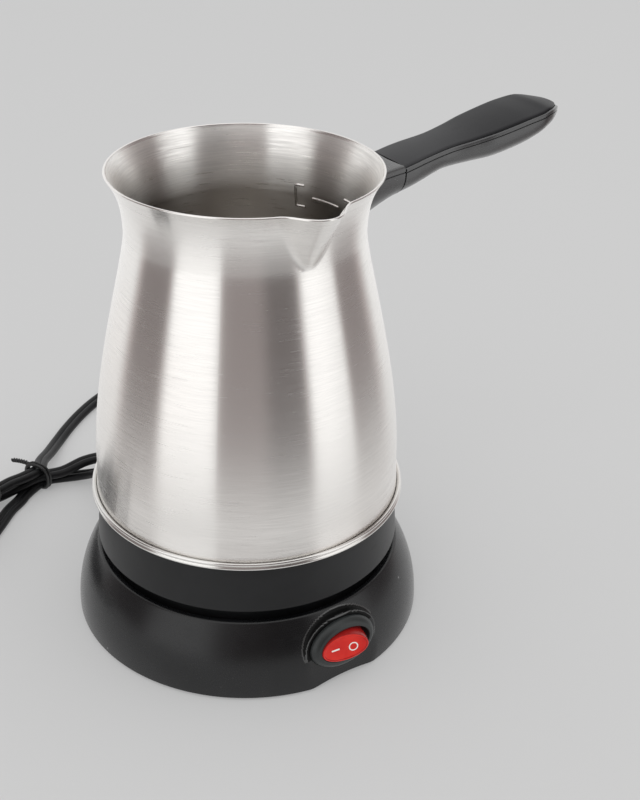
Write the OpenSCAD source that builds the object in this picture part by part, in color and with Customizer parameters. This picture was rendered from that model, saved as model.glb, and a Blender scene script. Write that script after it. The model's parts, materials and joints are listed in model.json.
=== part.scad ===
// Electric coffee pot on a switched base, as separate pieces.
// Lengths are millimetres. The origin is on the table under the pot's axis, +Z is up,
// the handle points along +X and the spout along -Y.

/* [Base] */
// Radius of the base skirt at its foot
base_r = 62.4; // [61:0.1:70]
// Height of the base skirt
base_h = 25.4; // [23.5:0.1:30]
// Radius of the curve that draws the skirt in towards its top
skirt_curve = 43; // [38:1:60]
// Rounding of the lip round the opening
lip_round = 1.6; // [1.2:0.1:3.5]
// Wall of the black mouldings
wall = 1.8; // [1.4:0.1:2.2]
// Gap between the opening and the neck that stands in it
well_gap = 2.4; // [1.5:0.1:3]
// Depth of that opening
well_depth = 3.6; // [1.5:0.1:4]
// Height of the skirt's lower edge above the table
foot_h = 1; // [0.8:0.1:2]
// Thickness of the cover under the base
cover_t = 1.8; // [1.2:0.1:2.4]
// Width of the rubber foot ring
foot_w = 5; // [3:0.1:6]
// Distance of the foot ring's middle line from the edge of the skirt
foot_in = 20.4; // [19.5:0.1:26]
// Distance of the cover's screws from the edge of the skirt
screw_in = 14.4; // [13.4:0.1:15]

/* [Switch] */
// Direction that the switch faces
switch_az = -87; // [-100:1:-80]
// Height of the switch's middle above the skirt's lower edge
switch_h = 14.1; // [13.6:0.1:15]
// Distance of the switch's middle from the axis
switch_out = 59.2; // [58.4:0.1:60]
// Lean of the switch face
switch_lean = 8; // [4:1:12]
// Half length of the bezel
bezel_a = 12.8; // [11.5:0.1:14]
// Half height of the bezel
bezel_b = 8.9; // [8.4:0.1:9.4]
// Height of the bezel's outer edge above its boss
bezel_edge = 0.8; // [0.6:0.1:1.2]
// Height of the bezel's inner rim above its boss
bezel_t = 3.1; // [2:0.1:3.6]
// Rim of the boss outside the bezel
boss_rim = 1.3; // [0.8:0.1:1.6]
// How far that surround stays below the base's lip
boss_under = 1.4; // [0.3:0.1:3]
// Half length of the rocker's window
window_a = 9.7; // [9:0.1:10]
// Half height of the rocker's window
window_b = 5.8; // [5.4:0.1:6]
// Angle between the rocker's two positions
rocker_swing = 24; // [16:1:26]
// Depth of the switch behind its boss
switch_depth = 14; // [13.5:0.1:16]

/* [Heater housing] */
// Radius of the black band under the pot
band_r = 53.8; // [53:0.1:55]
// Height of the band
band_h = 16.7; // [14:0.1:22]
// Gap between the base's lip and the band
band_gap = 4.4; // [3:0.1:9]
// How much narrower the band is at its top
band_taper = 1.2; // [0:0.1:1.5]
// How far the neck that stands in the base lies inside the band
neck_in = 3.8; // [3:0.1:6]
// How far the heater plate lies inside the band
plate_in = 8.3; // [7.8:0.1:9.5]
// Thickness of the heater plate
plate_t = 3; // [2:0.1:4]
// Distance of the element's ring from the plate's edge
element_in = 12.5; // [11.5:0.1:13.5]
// Radius of the tube of the element
element_r = 3.4; // [3:0.1:3.8]
// Distance of the housing's screws from the plate's edge
stud_in = 4.5; // [3.5:0.1:5]

/* [Coupling] */
// Radius of the round socket on the base
socket_r = 14.4; // [13:0.1:16]
// Height of the socket above the floor of the opening
socket_h = 11.5; // [9:0.1:13]
// Distance between the two pins
pin_pitch = 12; // [10:0.5:14]
// Width of a pin
pin_w = 6.3; // [5:0.1:7]
// Thickness of a pin
pin_t = 0.8; // [0.6:0.1:1]
// Length of a pin inside the socket
pin_in = 7.5; // [5:0.1:8.5]

/* [Pot] */
// Height of the pot's wall
pot_h = 116; // [100:0.5:140]
// How far the wall's foot lies inside the band
foot_wall_in = 1.2; // [1:0.1:2.2]
// How far the belly swells out over the wall's foot
belly_out = 0.4; // [0.2:0.1:6]
// Height of the belly above the wall's foot
belly_h = 12; // [8:0.5:20]
// Radius of the neck
throat_r = 38.95; // [36:0.05:41]
// Distance of the neck below the rim
throat_drop = 20; // [16:0.5:24]
// Distance of the fill mark's middle below the rim
mark_drop = 22.5; // [18:0.5:30]
// Radius of the rim
rim_r = 44.4; // [42.5:0.1:50]
// Thickness of the steel sheet
sheet = 0.8; // [0.6:0.1:1.2]
// Reach of the spout's tip from the axis
spout_r = 51.2; // [48:0.1:56]
// Half width of the spout at the rim
spout_w = 11; // [9:0.5:13]
// Height of the spout's channel
spout_h = 20; // [14:0.5:24]
// Radius of the bright bead's section
bead_r = 1.2; // [0.8:0.1:1.4]
// How far the bead stands out over the band's lower edge
bead_out = 0.9; // [0.6:0.1:1.2]

/* [Handle] */
// Distance of the handle's tip from the axis
handle_end = 125; // [115:0.5:150]
// Distance of the seam of the collar from the axis
seam_x = 55; // [53:0.5:60]
// Drop of the handle's top at the seam below the rim
handle_drop = 6; // [5:0.5:9]
// Rise of the grip between the seam and its end
handle_rise = 10.5; // [4:0.5:14]
// Half width of the grip at its widest
grip_w = 12.3; // [10:0.1:14]
// Half width of the grip at its waist
waist_w = 9.2; // [8:0.1:10.5]
// Depth of the grip
grip_d = 12.3; // [10.5:0.1:15]
// Thickness of the handle's top cover
lid_t = 2; // [1.5:0.1:2.5]

/* [Cord] */
// Width of the flat twin cord
cord_w = 5.8; // [5:0.1:6.4]
// Thickness of the cord
cord_t = 3.2; // [2.8:0.1:3.6]
// Height of the cord's hole above the skirt's lower edge
cord_h = 8.5; // [8.3:0.1:10]
// Length of the strain relief outside the base
boot_len = 20; // [20:0.5:26]
// Half width of the plug
plug_w = 17.6; // [15:0.1:19]
// Thickness of the plug
plug_t = 13.7; // [12:0.1:15]

/* [Hidden] */
$fn = 96;
EPS = 0.01;
FIT = 0.1;
GAP = 0.3;
BIG = 200;

// Radii that follow from the band and the skirt
neck_r = band_r - neck_in;
well_r = neck_r + well_gap;
plate_r = band_r - plate_in;
element_ring = plate_r - element_in;
stud_ring = plate_r - stud_in;
foot_wall_r = band_r - foot_wall_in;
bead_mid = band_r + bead_out - bead_r;
belly_r = foot_wall_r + belly_out;
foot_mid = base_r - foot_in;
screw_ring = base_r - screw_in;

// Heights
z_lip = foot_h + base_h;
z_deck = z_lip - well_depth;
z_under = z_deck - wall;
z_cover = foot_h + 1;
z_cover_top = z_cover + cover_t;
z_pot = z_deck + GAP;
z_band = z_lip + band_gap;
z_bead = z_band + band_h;
flange_t = 0.6;
z_foot = z_bead + flange_t;
z_rim = z_foot + pot_h;
z_plate = z_foot - plate_t;
z_socket = z_deck + socket_h;
z_ceiling = z_socket + 1.4;
z_ceiling_top = z_ceiling + wall;
z_handle = z_rim - handle_drop;

// Skirt of the base: two arcs that run into each other
lip_turn = asin((base_h - lip_round) / (skirt_curve - lip_round));
function skirt_r(z) = base_r - skirt_curve + sqrt(pow(skirt_curve, 2) - pow(z - foot_h, 2));
function skirt_in(z) =
    base_r - skirt_curve + sqrt(pow(skirt_curve - wall, 2) - pow(z - foot_h, 2));
function turn(c, r, from, to, steps) =
    [for (i = [0:steps]) let (a = from + (to - from) * i / steps) c + r * [cos(a), sin(a)]];
skirt_mid = [base_r - skirt_curve, foot_h];
lip_mid = skirt_mid + (skirt_curve - lip_round) * [cos(lip_turn), sin(lip_turn)];
skirt_line = concat(
    turn(skirt_mid, skirt_curve, 0, lip_turn, 8),
    turn(lip_mid, lip_round, lip_turn + 10, 90, 5));
inner_turn = asin((z_under - foot_h) / (skirt_curve - wall));
inner_line = turn(skirt_mid, skirt_curve - wall, inner_turn, 0, 8);
base_turns = [45, 135, 225, 315];
foot_turns = [0, 90, 180, 270];
peg_r = 2;
boss_post_r = 3.6;
base_screw_r = 1.4;
head_r = 2.8;
head_t = 0.9;

// Switch: its own frame has x along the bezel, y up the face and z out of it
z_switch = foot_h + switch_h;
boss_a = bezel_a + boss_rim;
boss_b = bezel_b + boss_rim;
case_wall = 0.9;
case_a = window_a + case_wall;
case_b = window_b + case_wall;
axle_z = -3;
axle_r = 1;
rocker_gap = 0.5;
rocker_low = -3.6;
rocker_mid = bezel_t + 1.3;
rocker_top = bezel_t + 3;
dish_r = 40;
post_w = 1.9;
post_low = -6.4;
plunger_r = 1.2;
plunger_low = -8.6;
plunger_top = -4.6;
spring_top = -2.4;
lever_z = -9.3;
lever_t = 0.5;
lever_a = 6.2;
lever_w = 1.5;
lever_pin_r = 0.5;
lever_tilt = rocker_swing / 3;
contact_x = 5.2;
contact_z = lever_z - lever_t - contact_x * tan(lever_tilt) - GAP;
ear_y = 2.1;
ear_t = 0.6;
floor_z = -switch_depth;
blade_z = floor_z - 6;
blade_w = 3.2;
blade_t = 0.8;

// Heater housing and coupling
recess_r = socket_r + 0.6;
socket_flat = socket_r - 3.4;
tower_r = recess_r + wall;
coupler_t = 4;
stud_r = 2.5;
stud_turns = [60, 180, 300];
housing_screw_r = 1.4;
z_stud = z_ceiling;
element_gap = 30;
z_element = z_plate - 2 * element_r;
thermostat_x = 22;
thermostat_r = 7;
contact_gap = pin_t / 2 + GAP;
contact_t = 0.4;
contact_low = z_deck - 4.6;
slot_w = pin_w + 1;
slot_t = pin_t + 1;
cell_t = 2 * (contact_gap + contact_t) + 0.6;

// Outline of the pot's wall, as [radius, height above the wall's foot]
throat_h = pot_h - throat_drop;
mark_az = -4;
function bez(a, b, c, d, t) =
    a * pow(1 - t, 3) + 3 * b * t * pow(1 - t, 2) + 3 * c * t * t * (1 - t) + d * pow(t, 3);
function run(a, b, c, d, n) = [for (i = [1:n]) bez(a, b, c, d, i / n)];
belly = [belly_r, belly_h];
throat = [throat_r, throat_h];
wall_line = concat(
    [[foot_wall_r, 0]],
    run([foot_wall_r, 0], [foot_wall_r + 0.3, 4], belly - [0, 4], belly, 3),
    run(belly, belly + [0, 33], throat - [0, 10], throat, 12),
    run(throat, throat + [0, 11], [rim_r - 3, pot_h - 4.4], [rim_r, pot_h], 7));
function shifted(line, by) = [for (p = line) [p[0] + by, p[1]]];
function wall_r(z) = lookup(z - z_foot, [for (p = wall_line) [p[1], p[0]]]);

// Grip of the handle: stations as [share of its length, half width, depth]
grip = [
    [0, waist_w + 0.9, 11.8], [0.12, waist_w + 0.6, 11.1], [0.26, waist_w, 9.8],
    [0.4, waist_w + 1.2, grip_d - 1.7], [0.52, grip_w - 0.5, grip_d - 0.4],
    [0.64, grip_w, grip_d], [0.76, grip_w, grip_d - 0.8],
    [0.86, grip_w - 1.5, grip_d - 2.6], [0.94, grip_w - 5.3, grip_d - 5.6],
    [0.985, grip_w - 8.6, grip_d - 8.6]];
grip_len = handle_end - seam_x;
function grip_x(s) = seam_x + GAP / 2 + s * (grip_len - GAP / 2);
function grip_z(s) = z_handle + handle_rise * pow(sin(90 * min(1, s / 0.86)), 1.9);
edge_w = 1.2;
grip_wall = 2;
tang_t = 2;
tang_w = 12;
tang_len = 16;
z_tang = z_handle - 6.4;
screw_x = seam_x + 8;
grip_head_r = 2.9;
grip_head_t = 1;
z_grip_head = z_tang - 1.8 - grip_head_t;

// Cord: leaves the base at the back, through a boot
cord_az = 105;
z_cord = foot_h + cord_h;
cord_dir = [cos(cord_az), sin(cord_az)];
boot_r = 5.2;
boot_seat = skirt_r(z_cord - boot_r) + FIT;
boot_end = boot_seat + boot_len;
boot_tip_r = 3.8;
boot_back = skirt_in(z_cord + boot_r) - FIT - 2;
boot_hole_r = 4.3;
clamp_l = 15;
clamp_w = 5;
clamp_at = boot_back - 3.6 - clamp_w / 2;
inner_end = clamp_at - 3.5 - clamp_w / 2;
lay_z = cord_t / 2;
tie_t = 0.8;
tie_z = lay_z + tie_t;
layer = cord_t + FIT;
cross = [-45, 99.5];
hank_az = 200;
hank_far = 92;
hank_half = 3 * cord_w + cord_w / 2;
function hank(u, v, z) =
    [cross[0] + u * cos(hank_az) + v * sin(hank_az), cross[1] + u * sin(hank_az)
        - v * cos(hank_az), z];
plug_at = 31;
plug_len = 36;
plug_neck = 9;
z_plug = cord_t + plug_t / 2;
plug_pin_pitch = 18.6;
lead_route = [
    [-23.4, 86.4, 8.1], [-25.4, 91.6, 5.2], [-29.2, 96.4, 2.9], [-34.6, 99.8, 1.9],
    [-40, 100.8, 2.1], [-45, 99.5, 2.4], hank(9, -1.5, 1.9), hank(13, -3, 1.6)];
bight_route = [
    hank(13, 3, 3.8), hank(9, 1.5, 4.9), [-45, 99.5, 5.7], [-35, 97.5, 6.2], [-25, 96.8, 8.6],
    [-15, 97.2, 7.6], [-5, 98.2, 4.2], [7, 99.5, 2.1], [20, 101, 1.6], [36, 103, 1.6],
    [52, 106, 1.6], [66, 111.5, 1.6], [76, 120.5, 1.6], [81, 134, 1.6], [78.5, 148, 1.6],
    [68, 159, 1.6], [52, 164.5, 1.6], [34, 165, 1.6], [18, 160.5, 1.6], [3, 152.6, 1.6],
    [-8, 144.6, 1.6], [-17.6, 136, 1.6], [-26, 127, 2], [-33, 118, 3.8],
    [-39.6, 109, 6.6], [-45, 99.5, 9], hank(8, -0.6, 9.6), hank(14, 0, 10),
    hank(plug_at - plug_neck - 1, 0, 10), hank(plug_at - plug_neck - FIT, 0, 10)];

// Leads inside the base, and inside the pot's foot
lead_r = 0.9;

// ---- Shared shapes ----

function unit(v) = v / norm(v);
function lean(p, i) = unit(p[min(len(p) - 1, i + 1)] - p[max(0, i - 1)]);

// A tube of oval section along a list of points, half width a and half height b
module tube(p, a, b, sides = 8) {
    n = len(p);
    rings = [for (i = [0:n - 1])
        let (t = lean(p, i), s = unit(cross3([0, 0, 1], t)), u = cross3(t, s))
        for (k = [0:sides - 1]) p[i] + a * cos(360 * k / sides) * s + b * sin(360 * k / sides) * u];
    sides_of = [for (i = [0:n - 2]) for (k = [0:sides - 1])
        let (q = (k + 1) % sides) each [
            [i * sides + k, (i + 1) * sides + k, (i + 1) * sides + q],
            [i * sides + k, (i + 1) * sides + q, i * sides + q]]];
    first = [for (k = [0:sides - 1]) k];
    last = [for (k = [sides - 1:-1:0]) (n - 1) * sides + k];
    polyhedron(rings, concat([first], sides_of, [last]), convexity = 6);
}
function cross3(a, b) = [
    a[1] * b[2] - a[2] * b[1], a[2] * b[0] - a[0] * b[2], a[0] * b[1] - a[1] * b[0]];

module oval(a, b, steps = 48)
    polygon([for (i = [0:steps - 1]) [a * cos(360 * i / steps), b * sin(360 * i / steps)]]);

module oval_block(a, b, low, high)
    translate([0, 0, low]) linear_extrude(high - low) oval(a, b);

module around(turns, r)
    for (a = turns) rotate([0, 0, a]) translate([r, 0, 0]) children();

module bar(x, y, z, low)
    translate([-x / 2, -y / 2, low]) cube([x, y, z]);

// A flat-topped screw that points up from its head
module screw(r, length, head, thick) {
    cylinder(r = head, h = thick);
    cylinder(r = r, h = length);
}

module at_switch()
    rotate([0, 0, switch_az + 90])
        translate([0, -switch_out, z_switch])
            rotate([90 - switch_lean, 0, 0]) children();

module at_rocker()
    at_switch() translate([0, 0, axle_z]) rotate([0, -rocker_swing / 2, 0])
        translate([0, 0, -axle_z]) children();

module at_lever()
    at_switch() translate([0, 0, lever_z]) rotate([0, lever_tilt, 0]) children();

// ---- Base ----

module boss() hull() {
    oval_block(boss_a, boss_b, -0.4, 0);
    oval_block(boss_a + 0.5, boss_b + 0.9, -4.6, -4.4);
}

module skirt_solid()
    rotate_extrude() polygon(concat([[0, foot_h]], skirt_line, [[0, z_lip]]));

module base_shell() color("#1c1c1e") difference() {
    union() {
        rotate_extrude() polygon(concat(
            skirt_line,
            [[well_r, z_lip], [well_r, z_deck], [socket_r + 0.2, z_deck],
             [socket_r + 0.2, z_under]],
            inner_line));
        difference() {
            at_switch() boss();
            translate([0, 0, z_under]) cylinder(r = well_r + 0.5, h = BIG);
            translate([0, 0, z_cover_top + GAP - BIG]) cylinder(r = BIG, h = BIG);
            translate([0, 0, z_lip - boss_under]) cylinder(r = BIG, h = BIG);
        }
        intersection() {
            skirt_solid();
            at_switch() bar(2 * boss_a + 2, BIG, wall, -wall);
            translate([-BIG, -BIG, foot_h]) cube([2 * BIG, 2 * BIG, z_under - foot_h + EPS]);
        }
        around(base_turns, screw_ring) translate([0, 0, z_cover_top])
            cylinder(r = boss_post_r, h = z_under - z_cover_top + EPS);
        rotate([0, 0, cord_az]) translate([clamp_at, 0, 0])
            bar(clamp_w, clamp_l, z_under - z_cord - cord_t / 2 + EPS, z_cord + cord_t / 2);
    }
    at_switch() translate([-BIG / 2, -BIG / 2, 0]) cube([BIG, BIG, BIG]);
    at_switch() oval_block(case_a + 0.2, case_b + 0.2, -8, 1);
    around(base_turns, screw_ring) translate([0, 0, z_cover_top - EPS])
        cylinder(r = base_screw_r + 0.05, h = 10);
    rotate([0, 0, cord_az]) {
        translate([clamp_at - 4, 0, z_cord]) rotate([0, 90, 0])
            cylinder(r = boot_hole_r + FIT, h = 30);
        for (s = [-1, 1]) translate([clamp_at, s * (clamp_l / 2 - 2.2), z_cord + cord_t / 2 - EPS])
            cylinder(r = 1.05, h = 7);
    }
}

module base_cover() color("#1a1a1a") difference() {
    translate([0, 0, z_cover]) cylinder(r = skirt_in(z_cover_top) - GAP, h = cover_t);
    around(base_turns, screw_ring) translate([0, 0, z_cover - 1])
        cylinder(r = base_screw_r + 0.2, h = 5);
    around(foot_turns, foot_mid) translate([0, 0, z_cover - 1]) cylinder(r = peg_r + FIT, h = 5);
    for (i = [-4:4]) translate([i * 5, 0, 0]) bar(2, 32 - abs(i) * 3, cover_t + 2, z_cover - 1);
    at_switch() translate([-BIG / 2, -BIG / 2, -wall - GAP]) cube([BIG, BIG, BIG]);
}

module foot_ring() color("#2a2a2a") {
    rotate_extrude() translate([foot_mid - foot_w / 2, 0]) square([foot_w, z_cover]);
    around(foot_turns, foot_mid) cylinder(r = peg_r, h = z_cover_top + 0.6);
}

module base_screws() color("silver") around(base_turns, screw_ring)
    translate([0, 0, z_cover - head_t]) screw(base_screw_r, 10, head_r, head_t);

module socket_body() color("#202020") difference() {
    union() {
        intersection() {
            translate([0, 0, z_under - 7]) cylinder(r = socket_r, h = z_socket - z_under + 7);
            translate([-BIG / 2, -BIG / 2, 0]) cube([BIG / 2 + socket_flat, BIG, BIG]);
        }
        translate([0, 0, z_under - 2]) cylinder(r = socket_r + 4, h = 2);
    }
    for (s = [-1, 1]) translate([s * pin_pitch / 2, 0, 0]) {
        bar(slot_t, slot_w, 20, z_socket - 3);
        bar(cell_t, slot_w + 1.2, z_socket - 2 - z_under + 8, z_under - 8);
    }
}

module socket_contacts() color("#c9a14a")
    for (s = [-1, 1]) translate([s * pin_pitch / 2, 0, 0]) {
        for (q = [-1, 1]) translate([q * (contact_gap + contact_t / 2), 0, 0])
            bar(contact_t, pin_w, z_socket - 2.4 - contact_low, contact_low);
        bar(2 * (contact_gap + contact_t), pin_w, contact_t, contact_low - contact_t);
        bar(0.8, 4, 7, contact_low - 7);
    }

// ---- Switch ----

module switch_case() color("#262628") at_switch() difference() {
    union() {
        hull() {
            oval_block(bezel_a, bezel_b, 0, bezel_edge);
            oval_block(case_a, case_b, bezel_t - 0.1, bezel_t);
        }
        oval_block(case_a, case_b, floor_z, EPS);
    }
    oval_block(window_a, window_b, floor_z + 1, 5);
    translate([0, BIG / 2, axle_z]) rotate([90, 0, 0]) cylinder(r = axle_r + 0.06, h = BIG);
    for (x = [-contact_x, 0, contact_x]) translate([x, 0, 0])
        bar(blade_t + 0.1, blade_w + 0.1, 5, floor_z - 1);
}

module rocker() color("#c8201c") at_rocker() difference() {
    union() {
        hull() {
            oval_block(window_a - rocker_gap, window_b - rocker_gap, rocker_low, axle_z);
            oval_block(window_a - 3 * rocker_gap, window_b - 1.5 * rocker_gap, bezel_t - 0.1, bezel_t);
            oval_block(window_a - 4 * rocker_gap, window_b - 3 * rocker_gap, rocker_top, rocker_top + 0.1);
        }
        bar(2 * post_w, 2 * post_w, rocker_low + 1 - post_low, post_low);
        translate([0, case_b, axle_z]) rotate([90, 0, 0]) cylinder(r = axle_r, h = 2 * case_b);
    }
    translate([0, BIG / 2, rocker_mid + dish_r]) rotate([90, 0, 0]) cylinder(r = dish_r, h = BIG);
    difference() {
        oval_block(window_a - 2.6, window_b - 1.8, rocker_low - 1, rocker_mid - 1.2);
        bar(2 * post_w, 2 * post_w, BIG, -BIG / 2);
        bar(2 * axle_r + 0.6, BIG, BIG, -BIG / 2);
    }
    translate([0, 0, post_low - 1]) cylinder(r = plunger_r + 0.05, h = spring_top - post_low + 1.1);
}

module rocker_plunger() color("#e8e4d8") at_rocker() {
    translate([0, 0, plunger_low + 0.6]) cylinder(r = plunger_r, h = plunger_top - plunger_low - 0.6);
    translate([0, 0, plunger_low]) cylinder(r1 = 0.6, r2 = plunger_r, h = 0.6);
}

module rocker_spring() color("silver") at_rocker() {
    turns = 3.5;
    wire = 0.16;
    coil = plunger_r - wire - 0.1;
    low = plunger_top + wire + 0.05;
    high = spring_top - wire - 0.05;
    steps = 42;
    tube([for (i = [0:steps]) let (a = 360 * turns * i / steps)
        [coil * cos(a), coil * sin(a), low + (high - low) * i / steps]], wire, wire, 6);
}

module pilot_lamp() color("#ff9a50") at_rocker()
    translate([post_w + 0.3, 0, rocker_mid - 3.4]) rotate([0, 90, 0])
        cylinder(r = 1.5, h = 3.8, $fn = 32);

module contact_lever() color("#b87333") at_lever() {
    bar(2 * lever_a, 2 * lever_w, lever_t, -lever_t / 2);
    translate([0, ear_y + ear_t, 0]) rotate([90, 0, 0])
        cylinder(r = lever_pin_r, h = 2 * (ear_y + ear_t), $fn = 32);
}

module switch_terminals() color("#c9a14a") at_switch() {
    difference() {
        union() {
            for (s = [-1, 1]) translate([0, s * (ear_y + ear_t / 2), 0])
                bar(2.4, ear_t, lever_z + 0.9 - floor_z - 1, floor_z + 1);
            bar(2.4, 2 * ear_y, 0.8, floor_z + 1);
        }
        translate([0, 10, lever_z]) rotate([90, 0, 0])
            cylinder(r = lever_pin_r + 0.05, h = 20, $fn = 32);
    }
    bar(blade_t, blade_w, floor_z + 1 - blade_z + EPS, blade_z);
    translate([contact_x, 0, 0]) {
        bar(blade_t, blade_w, contact_z - 0.6 - blade_z, blade_z);
        bar(2.2, 2.4, 0.6, contact_z - 0.6);
    }
    translate([-contact_x, 0, 0]) bar(blade_t, blade_w, floor_z + 3 - blade_z, blade_z);
}

// ---- Leads in the base ----

// Where a blade of the switch ends, x along the switch
function blade_end(x) =
    let (out = switch_out + (blade_z - GAP) * cos(switch_lean),
         up = z_switch + (blade_z - GAP) * sin(switch_lean), a = switch_az + 90)
    [x * cos(a) + out * sin(a), x * sin(a) - out * cos(a), up];
lead_z = contact_low - 7.5 - lead_r;

module lead(points) tube(points, lead_r, lead_r);

module live_lead() color("#7a4a2a") lead([
    cord_core(-1.5, 0), cord_core(-1.5, 4), [-17, 32, 8.6], [-25, 18, 8], [-27, 0, 8],
    [-22, -16, 8], [-12, -29, 8], [-3, -34.5, 9], blade_end(0) + [-1.4, 3, -1.2],
    blade_end(0)]);

module switched_lead() color("#7a4a2a") lead([
    [pin_pitch / 2 + 1.4, 0.5, lead_z], [10, -6, lead_z - 0.6], [11, -16, 9], [9, -27, 10.5],
    blade_end(contact_x) + [0.6, 4, -0.2], blade_end(contact_x)]);

module neutral_lead() color("#3a5f8a") lead([
    cord_core(1.5, 0), cord_core(1.5, 4), [-3, 29, 9], [-1, 16, lead_z],
    [-2.5, 8, lead_z], [-4.6, 0.8, lead_z]]);

module lamp_lead() color("#3a5f8a") lead([
    [-pin_pitch / 2 - 1.4, -0.5, lead_z], [-10, -6, lead_z], [-11, -16, 11.5], [-9, -26, 12.8],
    blade_end(-contact_x) + [-1.4, 4, 0.4], blade_end(-contact_x)]);

// ---- Cord inside the base, clamp and boot ----

// One core of the cord, where its sheath ends; back is how far it has gone on inwards
function cord_core(v, back) =
    let (r = inner_end - GAP - back)
    [r * cord_dir[0] + v * cord_dir[1], r * cord_dir[1] - v * cord_dir[0], z_cord];

module cord_inner() color("#151515") rotate([0, 0, cord_az])
    translate([inner_end, 0, z_cord]) rotate([90, 0, 90])
        linear_extrude(boot_back - FIT - inner_end) oval(cord_w / 2, cord_t / 2, 16);

module cord_clamp() color("#2b2b2b") rotate([0, 0, cord_az]) translate([clamp_at, 0, 0])
    difference() {
        bar(clamp_w, clamp_l, 2.6, z_cord - cord_t / 2 - 2.6);
        for (s = [-1, 1]) translate([0, s * (clamp_l / 2 - 2.2), z_cord - 9])
            cylinder(r = 1.2, h = 12);
    }

module clamp_screws() color("silver") rotate([0, 0, cord_az])
    for (s = [-1, 1]) translate([clamp_at, s * (clamp_l / 2 - 2.2), z_cord - cord_t / 2 - 3.4])
        screw(1, 2.6 + cord_t + 4, 1.9, 0.8);

module strain_relief() color("#161616") rotate([0, 0, cord_az]) translate([0, 0, z_cord])
    rotate([0, 90, 0]) {
        translate([0, 0, boot_seat]) {
            cylinder(r = boot_r, h = 2);
            translate([0, 0, 2]) cylinder(r1 = boot_r - 0.4, r2 = boot_tip_r, h = boot_len - 2);
        }
        translate([0, 0, boot_back]) {
            cylinder(r = boot_hole_r, h = boot_seat - boot_back + 1);
            cylinder(r = boot_r, h = 2);
        }
    }

// ---- Cord, hank, tie and plug ----

boot_tip = [boot_end * cord_dir[0], boot_end * cord_dir[1], z_cord];

module cord_lead() color("#141414")
    tube(concat([boot_tip, boot_tip + 2 * concat(cord_dir, 0)], lead_route), cord_w / 2, cord_t / 2, 10);

module cord_bight() color("#141414") tube(bight_route, cord_w / 2, cord_t / 2, 10);

module cord_hank() color("#141414") translate([cross[0], cross[1], 0]) rotate([0, 0, hank_az])
    linear_extrude(cord_t) polygon(concat(
        turn([14, 0], 5, 125, 235, 6),
        turn([hank_far, 0], hank_half, -90, 90, 18),
        [[44, hank_half]]));

module cord_tie() color("#101010") translate([cross[0], cross[1], 0]) rotate([0, 0, hank_az + 10]) {
    half = 5.4;
    inner_h = tie_t + 3 * cord_t + 3 * FIT;
    difference() {
        translate([-1.2, -half - tie_t, 0]) cube([2.4, 2 * (half + tie_t), inner_h + tie_t]);
        translate([-2, -half, tie_t]) cube([4, 2 * half, inner_h - tie_t]);
    }
    translate([-0.7, -half - 9, inner_h - 1.2]) cube([1.4, 9, 1.2]);
}

module plug_body() color("#181818") translate([cross[0], cross[1], z_plug])
    rotate([0, 0, hank_az]) rotate([90, 0, 90]) {
        difference() {
            translate([0, 0, plug_at]) linear_extrude(plug_len) polygon([
                [-plug_w, -2.6], [-plug_w + 5, -plug_t / 2], [plug_w - 5, -plug_t / 2],
                [plug_w, -2.6], [plug_w, 2.6], [plug_w - 5, plug_t / 2],
                [-plug_w + 5, plug_t / 2], [-plug_w, 2.6]]);
            for (s = [-1, 1]) translate([s * 30, 0, plug_at - 1]) rotate([0, s * 18, 0])
                translate([-14, -20, -10]) cube([28, 40, 36]);
        }
        translate([0, 0, plug_at - plug_neck]) cylinder(r1 = 3.6, r2 = 5.4, h = plug_neck + 1);
    }

module plug_pins() color("silver") translate([cross[0], cross[1], z_plug])
    rotate([0, 0, hank_az]) rotate([90, 0, 90])
        for (s = [-1, 1]) translate([s * plug_pin_pitch / 2, 0, plug_at + plug_len]) {
            cylinder(r = 2, h = 17);
            translate([0, 0, 17]) cylinder(r1 = 2, r2 = 1, h = 2);
        }

// ---- Pot ----

// A solid beak on the front of the wall: t is how far it lies inside the outer one
module beak(t, over) {
    first = t > 0 ? 0.08 : 0.03;
    steps = 6;
    start = wall_r(z_rim - spout_h);
    loft([for (i = [0:steps + (over > 0 ? 1 : 0)]) let (
        s = min(1, first + (1 - first) * i / steps),
        z = z_rim - spout_h * (1 - s),
        w = spout_w * pow(s, 0.6) - 1.1 * t,
        reach = start + (spout_r - start) * s - 1.15 * t,
        side = sqrt(pow(wall_r(z), 2) - w * w) - 0.6 - t)
        concat(
            [for (q = [-1:0.25:1]) [w * q, -reach + (reach - side) * q * q, z + (i > steps ? over : 0)]],
            [[0, 8 - side, z + (i > steps ? over : 0)]])]);
}

// Raised mark inside the neck, up to which the pot is filled
module fill_mark() {
    z = z_rim - mark_drop;
    for (h = [-4, 0]) rotate([0, 0, mark_az]) hull() for (k = [0, 4])
        translate([wall_r(z + h + k) - sheet - 0.3, -0.5, z + h + k - 0.1]) cube([0.7, 1, 0.2]);
    for (h = [-4.6, 3.6]) translate([0, 0, z + h]) rotate([0, 0, mark_az - 0.3])
        rotate_extrude(angle = 6) translate([wall_r(z + h) - sheet - 0.4, 0]) square([0.8, 1]);
}

module pot_solid(by)
    translate([0, 0, z_foot]) rotate_extrude() polygon(concat(
        [[0, 0]], shifted(wall_line, by), [[0, pot_h]]));

module pot_shell() color("#c9c8c5") {
    difference() {
        union() {
            pot_solid(0);
            beak(0, 0);
        }
        intersection() {
            pot_solid(-sheet);
            translate([0, 0, z_foot + sheet]) cylinder(r = BIG, h = BIG);
        }
        translate([0, 0, z_rim - EPS]) cylinder(r = rim_r - sheet, h = 5);
        beak(sheet, 4);
    }
    fill_mark();
}

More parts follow.
